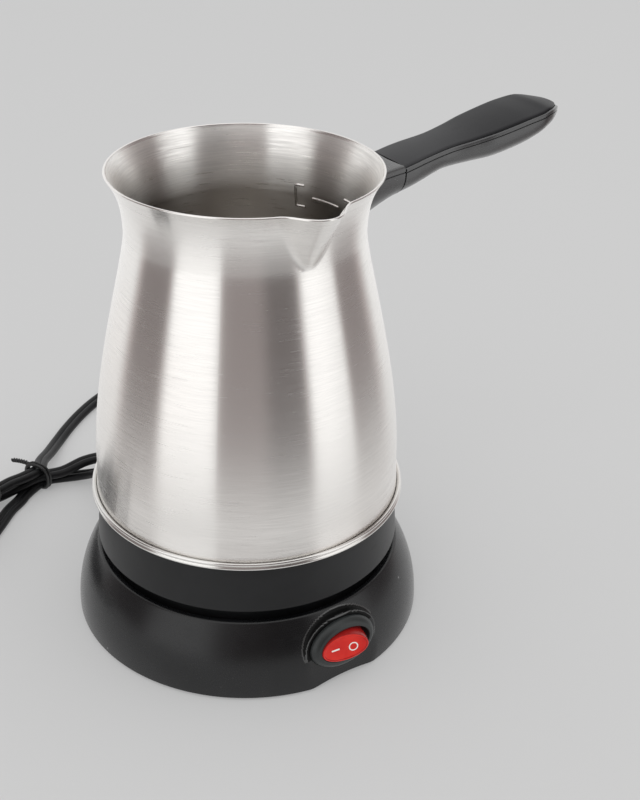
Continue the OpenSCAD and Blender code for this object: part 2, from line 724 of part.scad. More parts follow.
module bead_ring() color("#e6e6e6") difference() {
    rotate_extrude() {
        translate([bead_mid, z_bead + bead_r]) circle(r = bead_r, $fn = 32);
        polygon([
            [plate_r + 1, z_bead], [bead_mid, z_bead], [bead_mid, z_foot],
            [plate_r + 1, z_foot]]);
    }
    translate([0, 0, z_foot]) cylinder(r = foot_wall_r + 0.2, h = 5);
}

module heater_housing() color("#1d1d1f") difference() {
    union() {
        rotate_extrude() polygon([
            [band_r - band_taper, z_bead], [band_r, z_band], [neck_r, z_band], [neck_r, z_pot],
            [recess_r, z_pot], [recess_r, z_ceiling], [0, z_ceiling], [0, z_ceiling_top],
            [tower_r, z_ceiling_top], [tower_r, z_pot + wall], [neck_r - wall, z_pot + wall],
            [neck_r - wall, z_band + wall], [band_r - wall, z_band + wall],
            [band_r - band_taper - wall, z_bead]]);
        around(stud_turns, stud_ring) translate([0, 0, z_pot])
            cylinder(r = 4, h = z_stud - z_pot);
        translate([socket_flat + 0.6, -recess_r, z_pot]) cube([wall, 2 * recess_r, z_ceiling_top - z_pot]);
    }
    around(stud_turns, stud_ring) {
        translate([0, 0, z_pot - 1]) cylinder(r = 3.2, h = 3.5);
        translate([0, 0, z_pot - 1]) cylinder(r = housing_screw_r + 0.2, h = BIG);
    }
    for (s = [-1, 1]) translate([s * pin_pitch / 2, 0, 0])
        bar(pin_t + 0.2, pin_w + 0.2, 6, z_ceiling - 2);
}

module heater_plate() color("#b9bcc0") difference() {
    translate([0, 0, z_plate]) cylinder(r = plate_r, h = plate_t);
    around(stud_turns, stud_ring) translate([0, 0, z_plate - 1])
        cylinder(r = stud_r + 0.3, h = plate_t + 2);
}

module heating_element() color("#8d8f92") {
    rotate([0, 0, 90 + element_gap / 2]) rotate_extrude(angle = 360 - element_gap)
        translate([element_ring, z_plate - element_r]) difference() {
            circle(r = element_r, $fn = 32);
            translate([-5, element_r - 0.8]) square([10, 5]);
        }
    for (s = [-1, 1]) rotate([0, 0, 90 + s * (element_gap / 2 + 4)])
        translate([element_ring, 0, z_element - 6]) cylinder(r = 1.6, h = 7, $fn = 32);
    translate([0, 0, z_plate - 0.8]) rotate([0, 0, 90 + element_gap / 2])
        rotate_extrude(angle = 360 - element_gap)
            translate([element_ring - 1.6, -0.2]) square([3.2, 1]);
}

module thermostat() color("#d9d4c6") translate([-thermostat_x, 0, 0]) {
    translate([0, 0, z_plate - 1.5]) cylinder(r = thermostat_r, h = 1.5);
    translate([0, 0, z_plate - 7.2]) cylinder(r = thermostat_r - 0.8, h = 5.8);
    for (s = [-1, 1]) translate([0, s * 4.2, 0]) bar(0.8, 3, 5.8, z_plate - 12.9);
}

module thermal_fuse() color("#e4dfd0") translate([22, -9, z_plate - 2.3]) rotate([-90, 0, 0]) {
    cylinder(r = 2, h = 18, $fn = 32);
    translate([0, 0, -3]) cylinder(r = 0.6, h = 24, $fn = 24);
}

module coupler_block() color("#2a2a2c") difference() {
    translate([0, 0, z_ceiling_top]) cylinder(r = socket_r - 2, h = coupler_t);
    for (s = [-1, 1]) translate([s * pin_pitch / 2, 0, 0])
        bar(pin_t + 0.1, pin_w + 0.1, 20, z_ceiling_top - 5);
}

module coupler_pins() color("#d8d8d8")
    for (s = [-1, 1]) translate([s * pin_pitch / 2, 0, 0]) difference() {
        bar(pin_t, pin_w, z_ceiling_top + coupler_t + 2.5 - z_socket + pin_in, z_socket - pin_in);
        translate([-5, 0, z_ceiling_top + coupler_t + 1.2]) rotate([0, 90, 0])
            cylinder(r = 0.7, h = 10, $fn = 24);
    }

pin_top = z_ceiling_top + coupler_t + 1.5;

module pot_live_lead() color("#7a4a2a") lead([
    [-pin_pitch / 2 - 1.6, 1, pin_top], [-9, 6, pin_top], [-11, 12, pin_top - 0.5],
    [-15, 14, z_plate - 5.6], [-19, 11.5, z_plate - 10], [-21.6, 8, z_plate - 11.4],
    [-thermostat_x, 5.9, z_plate - 11.4]]);

module pot_link_lead() color("#7a4a2a") lead([
    [-thermostat_x, -5.9, z_plate - 11.4], [-21.6, -8, z_plate - 11.4],
    [-18, -14, z_plate - 12], [-11, -19.5, z_plate - 12], [0, -22.5, z_plate - 12],
    [10, -21.5, z_plate - 10.5], [18, -18, z_plate - 6.5], [21.6, -14.6, z_plate - 3],
    [22, -12.3, z_plate - 2.3]]);

// The lower end of one of the element's two cold pins
function cold_pin(s) =
    let (a = 90 + s * (element_gap / 2 + 4))
    [element_ring * cos(a), element_ring * sin(a), z_element - 6.3 - lead_r];

module pot_neutral_lead() color("#3a5f8a") {
    lead([
        [pin_pitch / 2 + 1.6, 1, pin_top], [9, 6, pin_top], [8, 14, pin_top - 0.6],
        [4, 19.5, z_plate - 6], [-3, 23, z_plate - 12], cold_pin(1) + [2.4, -3.6, 0], cold_pin(1)]);
    lead([
        [22, 12.3, z_plate - 2.3], [21.6, 14.8, z_plate - 3.6], [18.6, 20, z_plate - 9],
        [15, 25, z_plate - 13], cold_pin(-1) + [1.6, -3.4, 0], cold_pin(-1)]);
}

module housing_studs() color("silver") around(stud_turns, stud_ring) translate([0, 0, z_stud])
    difference() {
        cylinder(r = stud_r, h = z_foot - z_stud);
        translate([0, 0, -1]) cylinder(r = housing_screw_r + 0.05, h = 7);
    }

module housing_screws() color("silver") around(stud_turns, stud_ring)
    translate([0, 0, z_pot + 1]) screw(housing_screw_r, z_stud - z_pot + 4, head_r, 1.4);

// ---- Handle ----

// The upright section of the grip at station g; cut is how far it lies inside
function ring_of(g, cut, top) =
    let (x = grip_x(g[0]), z = grip_z(g[0]), w = g[1] - cut, d = g[2] - cut)
    concat(
        [[x, w - edge_w, z - top], [x, -w + edge_w, z - top]],
        [for (a = [180:-20:0]) [x, w * cos(a), z - 1.6 - max(top - 1.4, 0)
            - (d - 1.6) * pow(sin(a), 0.8)]]);

module loft(rings) {
    n = len(rings);
    m = len(rings[0]);
    points = [for (r = rings) for (p = r) p];
    walls = [for (i = [0:n - 2]) for (k = [0:m - 1])
        let (q = (k + 1) % m) each [
            [i * m + k, (i + 1) * m + q, i * m + q],
            [i * m + k, (i + 1) * m + k, (i + 1) * m + q]]];
    first = [for (k = [0:m - 1]) k];
    last = [for (k = [m - 1:-1:0]) (n - 1) * m + k];
    polyhedron(points, concat([first], walls, [last]), convexity = 4);
}

module handle_bracket() color("#b5b5b5") difference() {
    union() {
        translate([throat_r - 8, -9, z_tang - 5]) cube([12, 18, 11]);
        translate([throat_r, -tang_w / 2, z_tang]) cube([seam_x + tang_len - throat_r, tang_w, tang_t]);
    }
    pot_solid(FIT);
    difference() {
        translate([0, 0, z_tang - 10]) cylinder(r = throat_r + 2.6, h = 30);
        translate([0, 0, z_tang - 10]) cylinder(r = 1, h = 30);
        translate([-BIG, -BIG, -BIG]) cube([2 * BIG, 2 * BIG, BIG + z_tang - 20]);
        translate([throat_r - 9, -10, z_tang - 6]) cube([14, 20, 13]);
    }
    translate([screw_x, 0, z_tang - 2]) cylinder(r = 1.55, h = 6);
}

module collar_face(w, top, low)
    polygon([
        [-w + edge_w, top], [w - edge_w, top], [w, top - 1.6], [w, top - 5],
        [w * 0.86, low + 1.8], [w * 0.5, low], [-w * 0.5, low], [-w * 0.86, low + 1.8],
        [-w, top - 5], [-w, top - 1.6]]);

module handle_collar() color("#232325") difference() {
    hull() {
        translate([seam_x - GAP / 2 - 1, 0, 0]) rotate([90, 0, 90]) linear_extrude(1)
            collar_face(waist_w + 0.9, z_handle, z_handle - 11.9);
        translate([throat_r - 4, 0, 0]) rotate([90, 0, 90]) linear_extrude(1)
            collar_face(waist_w + 2.4, z_handle - 0.8, z_handle - 18);
    }
    pot_solid(FIT);
    translate([0, 0, z_handle - 30]) cylinder(r = throat_r - 2, h = 60);
    translate([throat_r - 8, -9 - FIT, z_tang - 5 - FIT]) cube([12 + FIT, 18 + 2 * FIT, 11 + 2 * FIT]);
    translate([throat_r, -tang_w / 2 - FIT, z_tang - FIT])
        cube([BIG, tang_w + 2 * FIT, tang_t + 2 * FIT]);
}

module handle_lower() color("#2a2a2c") difference() {
    loft([for (g = grip) ring_of(g, 0, 0)]);
    difference() {
        loft([for (i = [0:8]) let (g = grip[i])
            [for (p = ring_of(g, grip_wall, lid_t - 0.1)) [p[0] + (i == 0 ? grip_wall : 0), p[1], p[2]]]]);
        translate([screw_x, 0, 0]) cylinder(r = 4, h = z_tang);
    }
    lid_shape(0.1, 3);
    translate([seam_x - 5, -tang_w / 2 - FIT, z_tang - FIT])
        cube([tang_len + 6, tang_w + 2 * FIT, tang_t + 2 * FIT]);
    translate([screw_x, 0, 0]) cylinder(r = 1.75, h = BIG);
    translate([screw_x, 0, z_grip_head + grip_head_t - BIG]) cylinder(r = grip_head_r + 0.2, h = BIG);
}

// The flat lid: by is how much wider it is, up is how far it reaches above the top
module lid_shape(by, up)
    loft([for (g = grip) let (x = grip_x(g[0]), z = grip_z(g[0]), w = max(1, g[1] - edge_w - 0.1 + by))
        [[x, w, z + up], [x, -w, z + up], [x, -w, z - lid_t], [x, w, z - lid_t]]]);

module handle_lid() color("#3a3a3c") lid_shape(0, 0);

module handle_screw() color("silver") translate([screw_x, 0, z_grip_head])
    screw(1.5, z_tang + tang_t + 0.8 - z_grip_head, grip_head_r, grip_head_t);

base_shell();
base_cover();
foot_ring();
base_screws();
socket_body();
socket_contacts();
switch_case();
rocker();
rocker_plunger();
rocker_spring();
pilot_lamp();
contact_lever();
switch_terminals();
live_lead();
switched_lead();
neutral_lead();
lamp_lead();
cord_inner();
cord_clamp();
clamp_screws();
strain_relief();
cord_lead();
cord_bight();
cord_hank();
cord_tie();
plug_body();
plug_pins();
pot_shell();
bead_ring();
heater_housing();
heater_plate();
heating_element();
thermostat();
thermal_fuse();
coupler_block();
coupler_pins();
pot_live_lead();
pot_link_lead();
pot_neutral_lead();
housing_studs();
housing_screws();
handle_bracket();
handle_collar();
handle_lower();
handle_lid();
handle_screw();
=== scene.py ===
import json
import math

import bmesh
import bpy
import numpy as np
from mathutils import Matrix, Vector


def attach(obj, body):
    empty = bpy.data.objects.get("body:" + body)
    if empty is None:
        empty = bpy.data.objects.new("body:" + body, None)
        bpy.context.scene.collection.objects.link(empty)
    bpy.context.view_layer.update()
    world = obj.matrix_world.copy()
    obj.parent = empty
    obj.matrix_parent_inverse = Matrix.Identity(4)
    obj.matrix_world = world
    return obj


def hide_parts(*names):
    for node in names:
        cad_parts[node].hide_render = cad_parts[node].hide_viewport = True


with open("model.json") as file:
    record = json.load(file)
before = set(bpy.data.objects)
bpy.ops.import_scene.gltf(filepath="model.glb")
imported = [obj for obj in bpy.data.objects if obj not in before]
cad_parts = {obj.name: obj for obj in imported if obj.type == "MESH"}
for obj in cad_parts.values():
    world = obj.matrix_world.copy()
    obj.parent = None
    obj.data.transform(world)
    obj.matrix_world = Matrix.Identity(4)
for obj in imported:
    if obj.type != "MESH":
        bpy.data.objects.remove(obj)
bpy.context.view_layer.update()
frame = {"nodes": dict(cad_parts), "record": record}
MM = 0.001


# ---------------- camera

EYE = (-0.1789, -0.3241, 0.2938)
HEADING = (0.515, 0.857)
PITCH, ROLL = math.radians(30.02), math.radians(0.65)


def camera():
    lens = bpy.data.cameras.new("view")
    lens.lens = 55.66
    lens.sensor_width = 36
    lens.shift_x = 0.0425
    lens.clip_start = 0.01
    eye = bpy.data.objects.new("view", lens)
    right = Vector((HEADING[1], -HEADING[0], 0)).normalized()
    level = Vector((*HEADING, 0)).normalized()
    ahead = level * math.cos(PITCH) - Vector((0, 0, 1)) * math.sin(PITCH)
    turn = Matrix((right, right.cross(ahead), -ahead)).transposed() @ Matrix.Rotation(ROLL, 3, "Z")
    eye.matrix_world = Matrix.Translation(EYE) @ turn.to_4x4()
    bpy.context.scene.collection.objects.link(eye)
    bpy.context.scene.camera = eye


camera()


# ---------------- materials

def operators(operation):
    """The methods of an operator on a Value: as it stands, and reflected."""
    def plain(self, other):
        return self.owner.node("Math", {"operation": operation}, (self, other))

    def reflected(self, other):
        return self.owner.node("Math", {"operation": operation}, (other, self))

    return plain, reflected


class Value:
    """One output of a node, with arithmetic that adds the nodes for it."""

    def __init__(self, owner, socket):
        self.owner = owner
        self.socket = socket

    __add__, __radd__ = operators("ADD")
    __sub__, __rsub__ = operators("SUBTRACT")
    __mul__, __rmul__ = operators("MULTIPLY")
    __pow__, __rpow__ = operators("POWER")

    def between(self, low, high):
        """0 below low, 1 above high, and a smooth step between them."""
        return self.owner.node(
            "MapRange", {"interpolation_type": "SMOOTHSTEP"}, {"Value": self, 1: low, 2: high})

    def other(self, output):
        """Another output of the same node."""
        return Value(self.owner, self.socket.node.outputs[output])


class Nodes:
    """A node tree, and the ways to add to it."""

    def __init__(self, tree):
        self.tree = tree

    def node(self, kind, settings=None, inputs=(), output=0):
        """Adds a node: its settings first, then its inputs' values and links."""
        made = self.tree.nodes.new("ShaderNode" + kind)
        for word, value in (settings or {}).items():
            setattr(made, word, value)
        for key, value in inputs.items() if isinstance(inputs, dict) else enumerate(inputs):
            self.give(made.inputs[key], value)
        return Value(self, made.outputs[output])

    def give(self, socket, value):
        if isinstance(value, Value):
            self.tree.links.new(value.socket, socket)
        elif isinstance(value, (tuple, list)) and len(socket.default_value) == 4:
            socket.default_value = (*value, 1.0)
        else:
            socket.default_value = value

    def split(self, vector):
        """The three numbers of a vector."""
        first = self.node("SeparateXYZ", inputs=(vector,))
        return [first.other(k) for k in range(3)]

    def mix(self, factor, first, second):
        return self.node("Mix", {"data_type": "RGBA"}, {0: factor, 6: first, 7: second}, 2)


LOOKS = {}


class Look(Nodes):
    """A material: its shader's plain values, and the nodes that vary the rest. LOOKS keeps it."""

    def __init__(self, name, **plain):
        self.material = LOOKS[name] = bpy.data.materials.new(name)
        self.material.use_nodes = True
        super().__init__(self.material.node_tree)
        self.shader = self.tree.nodes["Principled BSDF"]
        for words, value in plain.items():
            self.shader.inputs[words.replace("_", " ")].default_value = value

    def set(self, socket, value):
        self.give(self.shader.inputs[socket], value)

    def place(self, scale=(1, 1, 1)):
        """Where a point of the surface is, in metres times the scale."""
        here = self.node("TexCoord", output="Object")
        return self.node("Mapping", inputs={"Vector": here, "Scale": scale})

    def noise(self, scale, detail, rough, stretch=(1, 1, 1)):
        return self.node("TexNoise", inputs={
            "Vector": self.place(stretch), "Scale": scale, "Detail": detail, "Roughness": rough})

    def surface(self, colour, rough, height, distance, strength):
        """Sets the colour, the roughness, and a bump of that height, in metres."""
        self.set("Base Color", colour)
        self.set("Roughness", rough)
        self.set("Normal", self.node("Bump", inputs={
            "Strength": strength, "Distance": distance, "Height": height}))


DUST = (0.34, 0.34, 0.34)
# metres along the handle, between which a moulding's painted sheen near the pot, a lighter colour,
# gives way to its own colour
PAINTED_SHEEN_NEAR_POT = (0.06, 0.098)
# heights in metres, between which the painted shade low inside the pot gives way to its neck's own
# colour
PAINTED_SHADE_INSIDE = (0.1405, 0.1475)


def scaled(colour, share):
    return tuple(c * share for c in colour)


def moulding(name, colour, rough, grain=0.00002, specks=0.0, shine=0.5, pale=None, near=None):
    """A moulded plastic: a fine grain, uneven gloss, faint scuffs and a few specks of dust.
    pale is its colour in lighter clouds, and near a lighter colour painted on near the pot as a
    sheen."""
    look = Look(name, Specular_IOR_Level=shine)
    cloud = look.noise(38, 3, 0.6)
    fine = look.noise(2600, 2, 0.6)
    scuff = look.noise(90, 5, 0.7, (1, 1, 5)).between(0.56, 0.72)
    pale = pale or tuple(min(1, c * 1.35 + 0.004) for c in colour)
    shade = look.mix(cloud.between(0.3, 0.7), colour, pale)
    # near paints the moulding lighter close to the pot: a painted sheen
    if near:
        along, _, _ = look.split(look.place())
        shade = look.mix(along.between(*PAINTED_SHEEN_NEAR_POT), near, shade)
    if specks:
        dots = look.node("TexVoronoi", inputs={"Vector": look.place(), "Scale": 260.0})
        rare = look.noise(150, 1, 0.5).between(0.66, 0.7)
        shade = look.mix((1 - dots.between(0.06, 0.13)) * rare * specks, shade, DUST)
    rough = rough + (cloud - 0.5) * 0.07 + scuff * 0.05 + (fine - 0.5) * 0.06
    look.surface(shade, rough, fine, grain, 0.6)


def brushed(name, colour, rough, spread=0.86, line=1.0, stain=0.1, deep=None):
    """Sheet steel brushed round and round: fine level lines that spread its shine upright.
    line is how strong its lines are, and deep a darker colour painted low inside the pot as shade."""
    look = Look(name, Metallic=1.0, Anisotropic=spread, Anisotropic_Rotation=0.25)
    fine = look.noise(1.0, 3, 0.6, (85, 85, 2700))
    coarse = look.noise(1.0, 2, 0.5, (38, 38, 1100))
    patch = look.noise(34, 2, 0.5)
    cloud = look.noise(9, 2, 0.5)
    lines = (fine - 0.5) * 0.75 + (coarse - 0.5) * 0.25
    scratch = look.noise(1.0, 1, 0.5, (60, 60, 1500)).between(0.66, 0.74)
    scratch = scratch * patch.between(0.45, 0.65)
    warm = tuple(c * k for c, k in zip(colour, (1.0, 0.975, 0.965)))
    shade = look.mix(cloud.between(0.4, 0.7), colour, warm)
    shade = look.mix((lines * 1.6 + 0.5).between(0.1, 0.9) * (0.16 * line), shade,
                     scaled(colour, 0.5))
    shade = look.mix(patch.between(0.55, 0.8) * stain, shade, scaled(colour, 0.75))
    # below the neck the colour is painted darker: painted shade
    if deep:
        _, _, height = look.split(look.place())
        shade = look.mix((height + (cloud - 0.5) * 0.006).between(*PAINTED_SHADE_INSIDE), deep, shade)
    rough = rough + lines * (0.2 * line) + scratch * (0.10 * line) + (patch - 0.5) * 0.05
    look.surface(shade, rough, lines + scratch * 0.6, 0.00003, 0.3 * line)


def metal(name, colour, rough, wear=0.12):
    """Plain metal with drifting polish and a little tarnish."""
    look = Look(name, Metallic=1.0)
    cloud = look.noise(120, 3, 0.6)
    fine = look.noise(3000, 2, 0.5)
    shade = look.mix(cloud.between(0.45, 0.75) * wear * 3, colour, scaled(colour, 0.62))
    look.surface(shade, rough + (cloud - 0.5) * 0.1 + (fine - 0.5) * 0.04, fine, 0.00001, 0.4)


def rocker_plastic(name, depth=1.0, glow=1.0):
    """Clear red with the lamp's glow in it. depth and glow below 1 darken it and dim its glow, as
    painted shade.
    """
    look = Look(name, IOR=1.5, Specular_IOR_Level=0.25, Emission_Strength=1.0)
    cloud = look.noise(180, 2, 0.5)
    shade = look.mix(cloud.between(0.3, 0.8), scaled((0.50, 0.010, 0.008), depth),
                     scaled((0.60, 0.02, 0.013), depth))
    look.surface(shade, 0.24 + (cloud - 0.5) * 0.08, cloud, 0.00003, 0.3)
    look.set("Emission Color", look.mix(cloud.between(0.2, 0.9), (0.075 * glow, 0.003, 0.002),
                                        (0.11 * glow, 0.007 * glow, 0.004)))


def cord_plastic():
    """Soft black sheath with a slight haze."""
    look = Look("cord_black", Specular_IOR_Level=0.2)
    haze = look.noise(70, 3, 0.6)
    fine = look.noise(1800, 2, 0.6)
    shade = look.mix(haze.between(0.35, 0.75), (0.004, 0.004, 0.0045), (0.010, 0.010, 0.011))
    look.surface(shade, 0.42 + (haze - 0.5) * 0.16 + (fine - 0.5) * 0.08, fine, 0.00003, 0.5)


def sleeve():
    """Woven glass fibre."""
    look = Look("fuse_sleeve")
    _, along, _ = look.split(look.place())
    rows = look.node("Math", {"operation": "SINE"}, (along * 9000.0,))
    shade = look.mix(rows.between(-1.0, 1.0), (0.62, 0.59, 0.5), (0.82, 0.79, 0.7))
    look.surface(shade, 0.75 + rows * 0.05, rows, 0.00008, 0.6)


def lamp_glass():
    """The pilot lamp's tinted glass, faintly lit."""
    look = Look("lamp_glass", IOR=1.5, Emission_Strength=1.0)
    cloud = look.noise(400, 2, 0.5)
    look.set("Base Color", look.mix(cloud.between(0.3, 0.7), (1.0, 0.5, 0.25), (1.0, 0.62, 0.36)))
    look.set("Roughness", 0.08 + cloud * 0.05)
    look.set("Alpha", 0.6)
    look.set("Emission Color", (0.5, 0.2, 0.08))


moulding("black_gloss", (0.0018, 0.0020, 0.0026), 0.27, specks=0.6, shine=0.46)
moulding("black_matte", (0.010, 0.010, 0.011), 0.52)
moulding("foot_rubber", (0.02, 0.02, 0.02), 0.75, 0.00006)
metal("screw_steel", (0.58, 0.57, 0.55), 0.3)
metal("contact_brass", (0.78, 0.6, 0.3), 0.32)
moulding("switch_black", (0.013, 0.0155, 0.0155), 0.38, shine=0.45)
rocker_plastic("rocker_red")
moulding("white_plastic", (0.86, 0.84, 0.8), 0.4, pale=(0.9, 0.88, 0.84))
metal("spring_steel", (0.6, 0.6, 0.6), 0.25)
lamp_glass()
metal("contact_copper", (0.72, 0.42, 0.25), 0.34)
moulding("lead_brown", (0.13, 0.05, 0.022), 0.5)
moulding("lead_blue", (0.03, 0.085, 0.24), 0.5)
cord_plastic()
moulding("tie_black", (0.012, 0.012, 0.012), 0.45)
moulding("plug_black", (0.014, 0.014, 0.015), 0.48, 0.00005)
metal("pin_nickel", (0.72, 0.7, 0.66), 0.2)
brushed("pot_steel", (0.825, 0.805, 0.78), 0.25, line=0.85, stain=0.08)
brushed("bead_chrome", (0.72, 0.71, 0.69), 0.16, 0.5, 0.4, 0.02)
moulding("band_black", (0.0042, 0.0044, 0.005), 0.40, shine=0.3)
brushed("plate_aluminium", (0.75, 0.76, 0.77), 0.36, 0.5, 0.6)
metal("element_steel", (0.42, 0.4, 0.38), 0.4, 0.25)
moulding("ceramic", (0.72, 0.69, 0.6), 0.5, pale=(0.8, 0.77, 0.69))
sleeve()
brushed("bracket_steel", (0.6, 0.6, 0.6), 0.38, 0.4, 0.6)
# the handle's mouldings are painted lighter near the pot: a painted sheen
moulding("handle_black", (0.022, 0.022, 0.023), 0.26, shine=0.9, near=(0.036, 0.036, 0.037))
moulding("lid_charcoal", (0.012, 0.012, 0.0135), 0.40, shine=0.12, near=(0.045, 0.045, 0.047))
# the pot's inside: the steel painted brighter, as painted light, and darker below the neck, as
# painted shade
brushed("pot_inside", (0.95, 0.93, 0.90), 0.33, 0.96, 2.4, deep=(0.5, 0.47, 0.435))
# a darker, duller black painted on the upper left of the switch's boss as shade, and a lighter,
# shinier one on its edges there as painted highlight lines
moulding("boss_painted_shade", (0.002, 0.002, 0.002), 0.42, shine=0.1)
moulding("boss_edge_painted_highlight", (0.03, 0.03, 0.03), 0.3, shine=0.8)
# a darker, dimmer copy of the red for the rocker's side walls: painted shade
rocker_plastic("rocker_wall_painted_shade", 0.5, 0.3)

for part in frame["record"]["subparts"]:
    solid, look = frame["nodes"][part["node"]], LOOKS[part["material_slot"]]
    for place in solid.material_slots:
        place.material = look
    if not solid.material_slots:
        solid.data.materials.append(look)


# ---------------- making a piece

def skin(rows, low=None, high=None, closed=False):
    """Points and faces of a closed skin over rows of points, each row a ring.
    low and high are the points that close its ends; closed joins the last row to the first."""
    rows = np.asarray(rows, float)
    count, size, _ = rows.shape
    points = rows.reshape(-1, 3).tolist()
    near = np.arange(size)
    far = (near + 1) % size
    faces = []
    for i in range(count if closed else count - 1):
        a, b = i * size, (i + 1) % count * size
        faces += np.stack([a + near, a + far, b + far, b + near], 1).tolist()
    for row, centre in ((0, low), (count - 1, high)):
        if centre is not None:
            points.append(list(centre))
            middle = len(points) - 1
            faces += [(middle, row * size + k, row * size + q) for k, q in zip(near, far)]
    return points, faces


def piece(name, points, faces, slot, body, nodes=(), crease=40):
    """A finished object of the model, with its faces outwards, on its body."""
    mesh = bpy.data.meshes.new(name)
    mesh.from_pydata(points, [], faces)
    work = bmesh.new()
    work.from_mesh(mesh)
    bmesh.ops.remove_doubles(work, verts=work.verts, dist=1e-7)
    bmesh.ops.recalc_face_normals(work, faces=work.faces)
    work.to_mesh(mesh)
    work.free()
    made = bpy.data.objects.new(name, mesh)
    bpy.context.scene.collection.objects.link(made)
    return dress(made, slot, body, nodes, crease)


def dress(made, slot, body, nodes=(), crease=40):
    """Smooths an object but for its creases, gives it its material, puts it on its body and hides
    the CAD nodes it stands for.
    """
    made.data.shade_smooth()
    made.data.set_sharp_from_angle(angle=math.radians(crease))
    if not made.data.materials:
        made.data.materials.append(LOOKS[slot])
    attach(made, body)
    if nodes:
        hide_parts(*nodes)
    return made


def middles(made):
    """The middles of an object's faces, in millimetres."""
    return np.array([face.center for face in made.data.polygons]) / MM


def facings(made):
    return np.array([face.normal for face in made.data.polygons])


def paint(made, names, choice):
    """Adds materials to an object, and gives each face the chosen one: 0 is its first."""
    for name in names:
        made.data.materials.append(LOOKS[name])
    made.data.polygons.foreach_set("material_index", np.asarray(choice, np.int32))


def capped(rows):
    """A skin in metres over rows of points in millimetres, closed by the middles of its ends."""
    rows = np.array(rows) * MM
    return skin(rows, rows[0].mean(0), rows[-1].mean(0))


def together(skins):
    """The points and faces of several skins as one."""
    points, faces = [], []
    for more, sides in skins:
        faces += [[k + len(points) for k in f] for f in sides]
        points += more
    return points, faces


def all_round(count):
    return np.linspace(0, 2 * math.pi, count, endpoint=False)


def turned(line, angle):
    """Rows of points round the axis: line holds the radius and height of each row, as numbers
    or with one for each angle."""
    return np.array([np.stack([r * np.cos(angle), r * np.sin(angle),
                               np.broadcast_to(z, angle.shape)], 1) for r, z in line])


def ovals(line, count=96):
    """Rows of level ovals: line holds (half length, half width, height) of each."""
    a = all_round(count)
    return np.array([np.stack([x * np.cos(a), y * np.sin(a), np.full(count, z)], 1)
                     for x, y, z in line])


def both_sides(line):
    """A line that ends on the middle plane, and its mirror image on the other side."""
    return line + [(-y, z) for y, z in line[::-1][1:]]


def units(rows):
    return rows / np.linalg.norm(rows, axis=1)[:, None]


def bezier(a, b, c, d, count):
    t = np.linspace(0, 1, count)[:, None]
    a, b, c, d = (np.array(p, float) for p in (a, b, c, d))
    return a * (1 - t) ** 3 + 3 * b * t * (1 - t) ** 2 + 3 * c * t * t * (1 - t) + d * t ** 3


def arc(centre, radius, start, stop, count):
    a = np.radians(np.linspace(start, stop, count))
    return [(centre[0] + radius * math.cos(t), centre[1] + radius * math.sin(t)) for t in a]


def curve_through(xs, ys):
    """A smooth curve through the points that doesn't swing past them."""
    xs, ys = np.asarray(xs, float), np.asarray(ys, float)
    step = np.diff(xs)
    rise = np.diff(ys) / step
    slope = np.zeros(len(xs))
    slope[0], slope[-1] = rise[0], rise[-1]
    for i in range(1, len(xs) - 1):
        if rise[i - 1] * rise[i] > 0:
            a, b = 2 * step[i] + step[i - 1], step[i] + 2 * step[i - 1]
            slope[i] = (a + b) / (a / rise[i - 1] + b / rise[i])

    def at(x):
        x = np.clip(x, xs[0], xs[-1])
        i = np.clip(np.searchsorted(xs, x) - 1, 0, len(step) - 1)
        t = (x - xs[i]) / step[i]
        return ((1 + 2 * t) * (1 - t) ** 2 * ys[i] + t * (1 - t) ** 2 * step[i] * slope[i]
                + t * t * (3 - 2 * t) * ys[i + 1] + t * t * (t - 1) * step[i] * slope[i + 1])

    return at


def soft_max(a, b, k):
    """The larger of two values, with a rounded change from one to the other."""
    blend = np.maximum(k - np.abs(a - b), 0) / k
    return np.maximum(a, b) + blend * blend * k / 4


# ---------------- cord, tie, boot and plug

CORD_W, CORD_T = 5.8, 3.2
# heights of the cord's middle line on the table and at the boot, and of the plug's middle
Z_LAID, Z_EXIT, Z_PLUG = CORD_T / 2, 9.5, 10.05
# the tie's place, the hank's direction, and the place and radius of the hank's far fold
CROSS = (-45.0, 99.5)
HANK_TURN = math.radians(200)
HANK_AWAY = np.array([math.cos(HANK_TURN), math.sin(HANK_TURN), 0])
HANK_SIDE = np.array([math.sin(HANK_TURN), -math.cos(HANK_TURN), 0])
FOLD_AT, FOLD_R = 92, 17.4


def hank(u, v, z=Z_LAID):
    """A point of the hank: u along it from the tie, v across it."""
    return tuple(np.array([*CROSS, z]) + u * HANK_AWAY + v * HANK_SIDE)


def laid(*places):
    """Points where the cord lies flat on the table."""
    return [(*place, Z_LAID) for place in places]


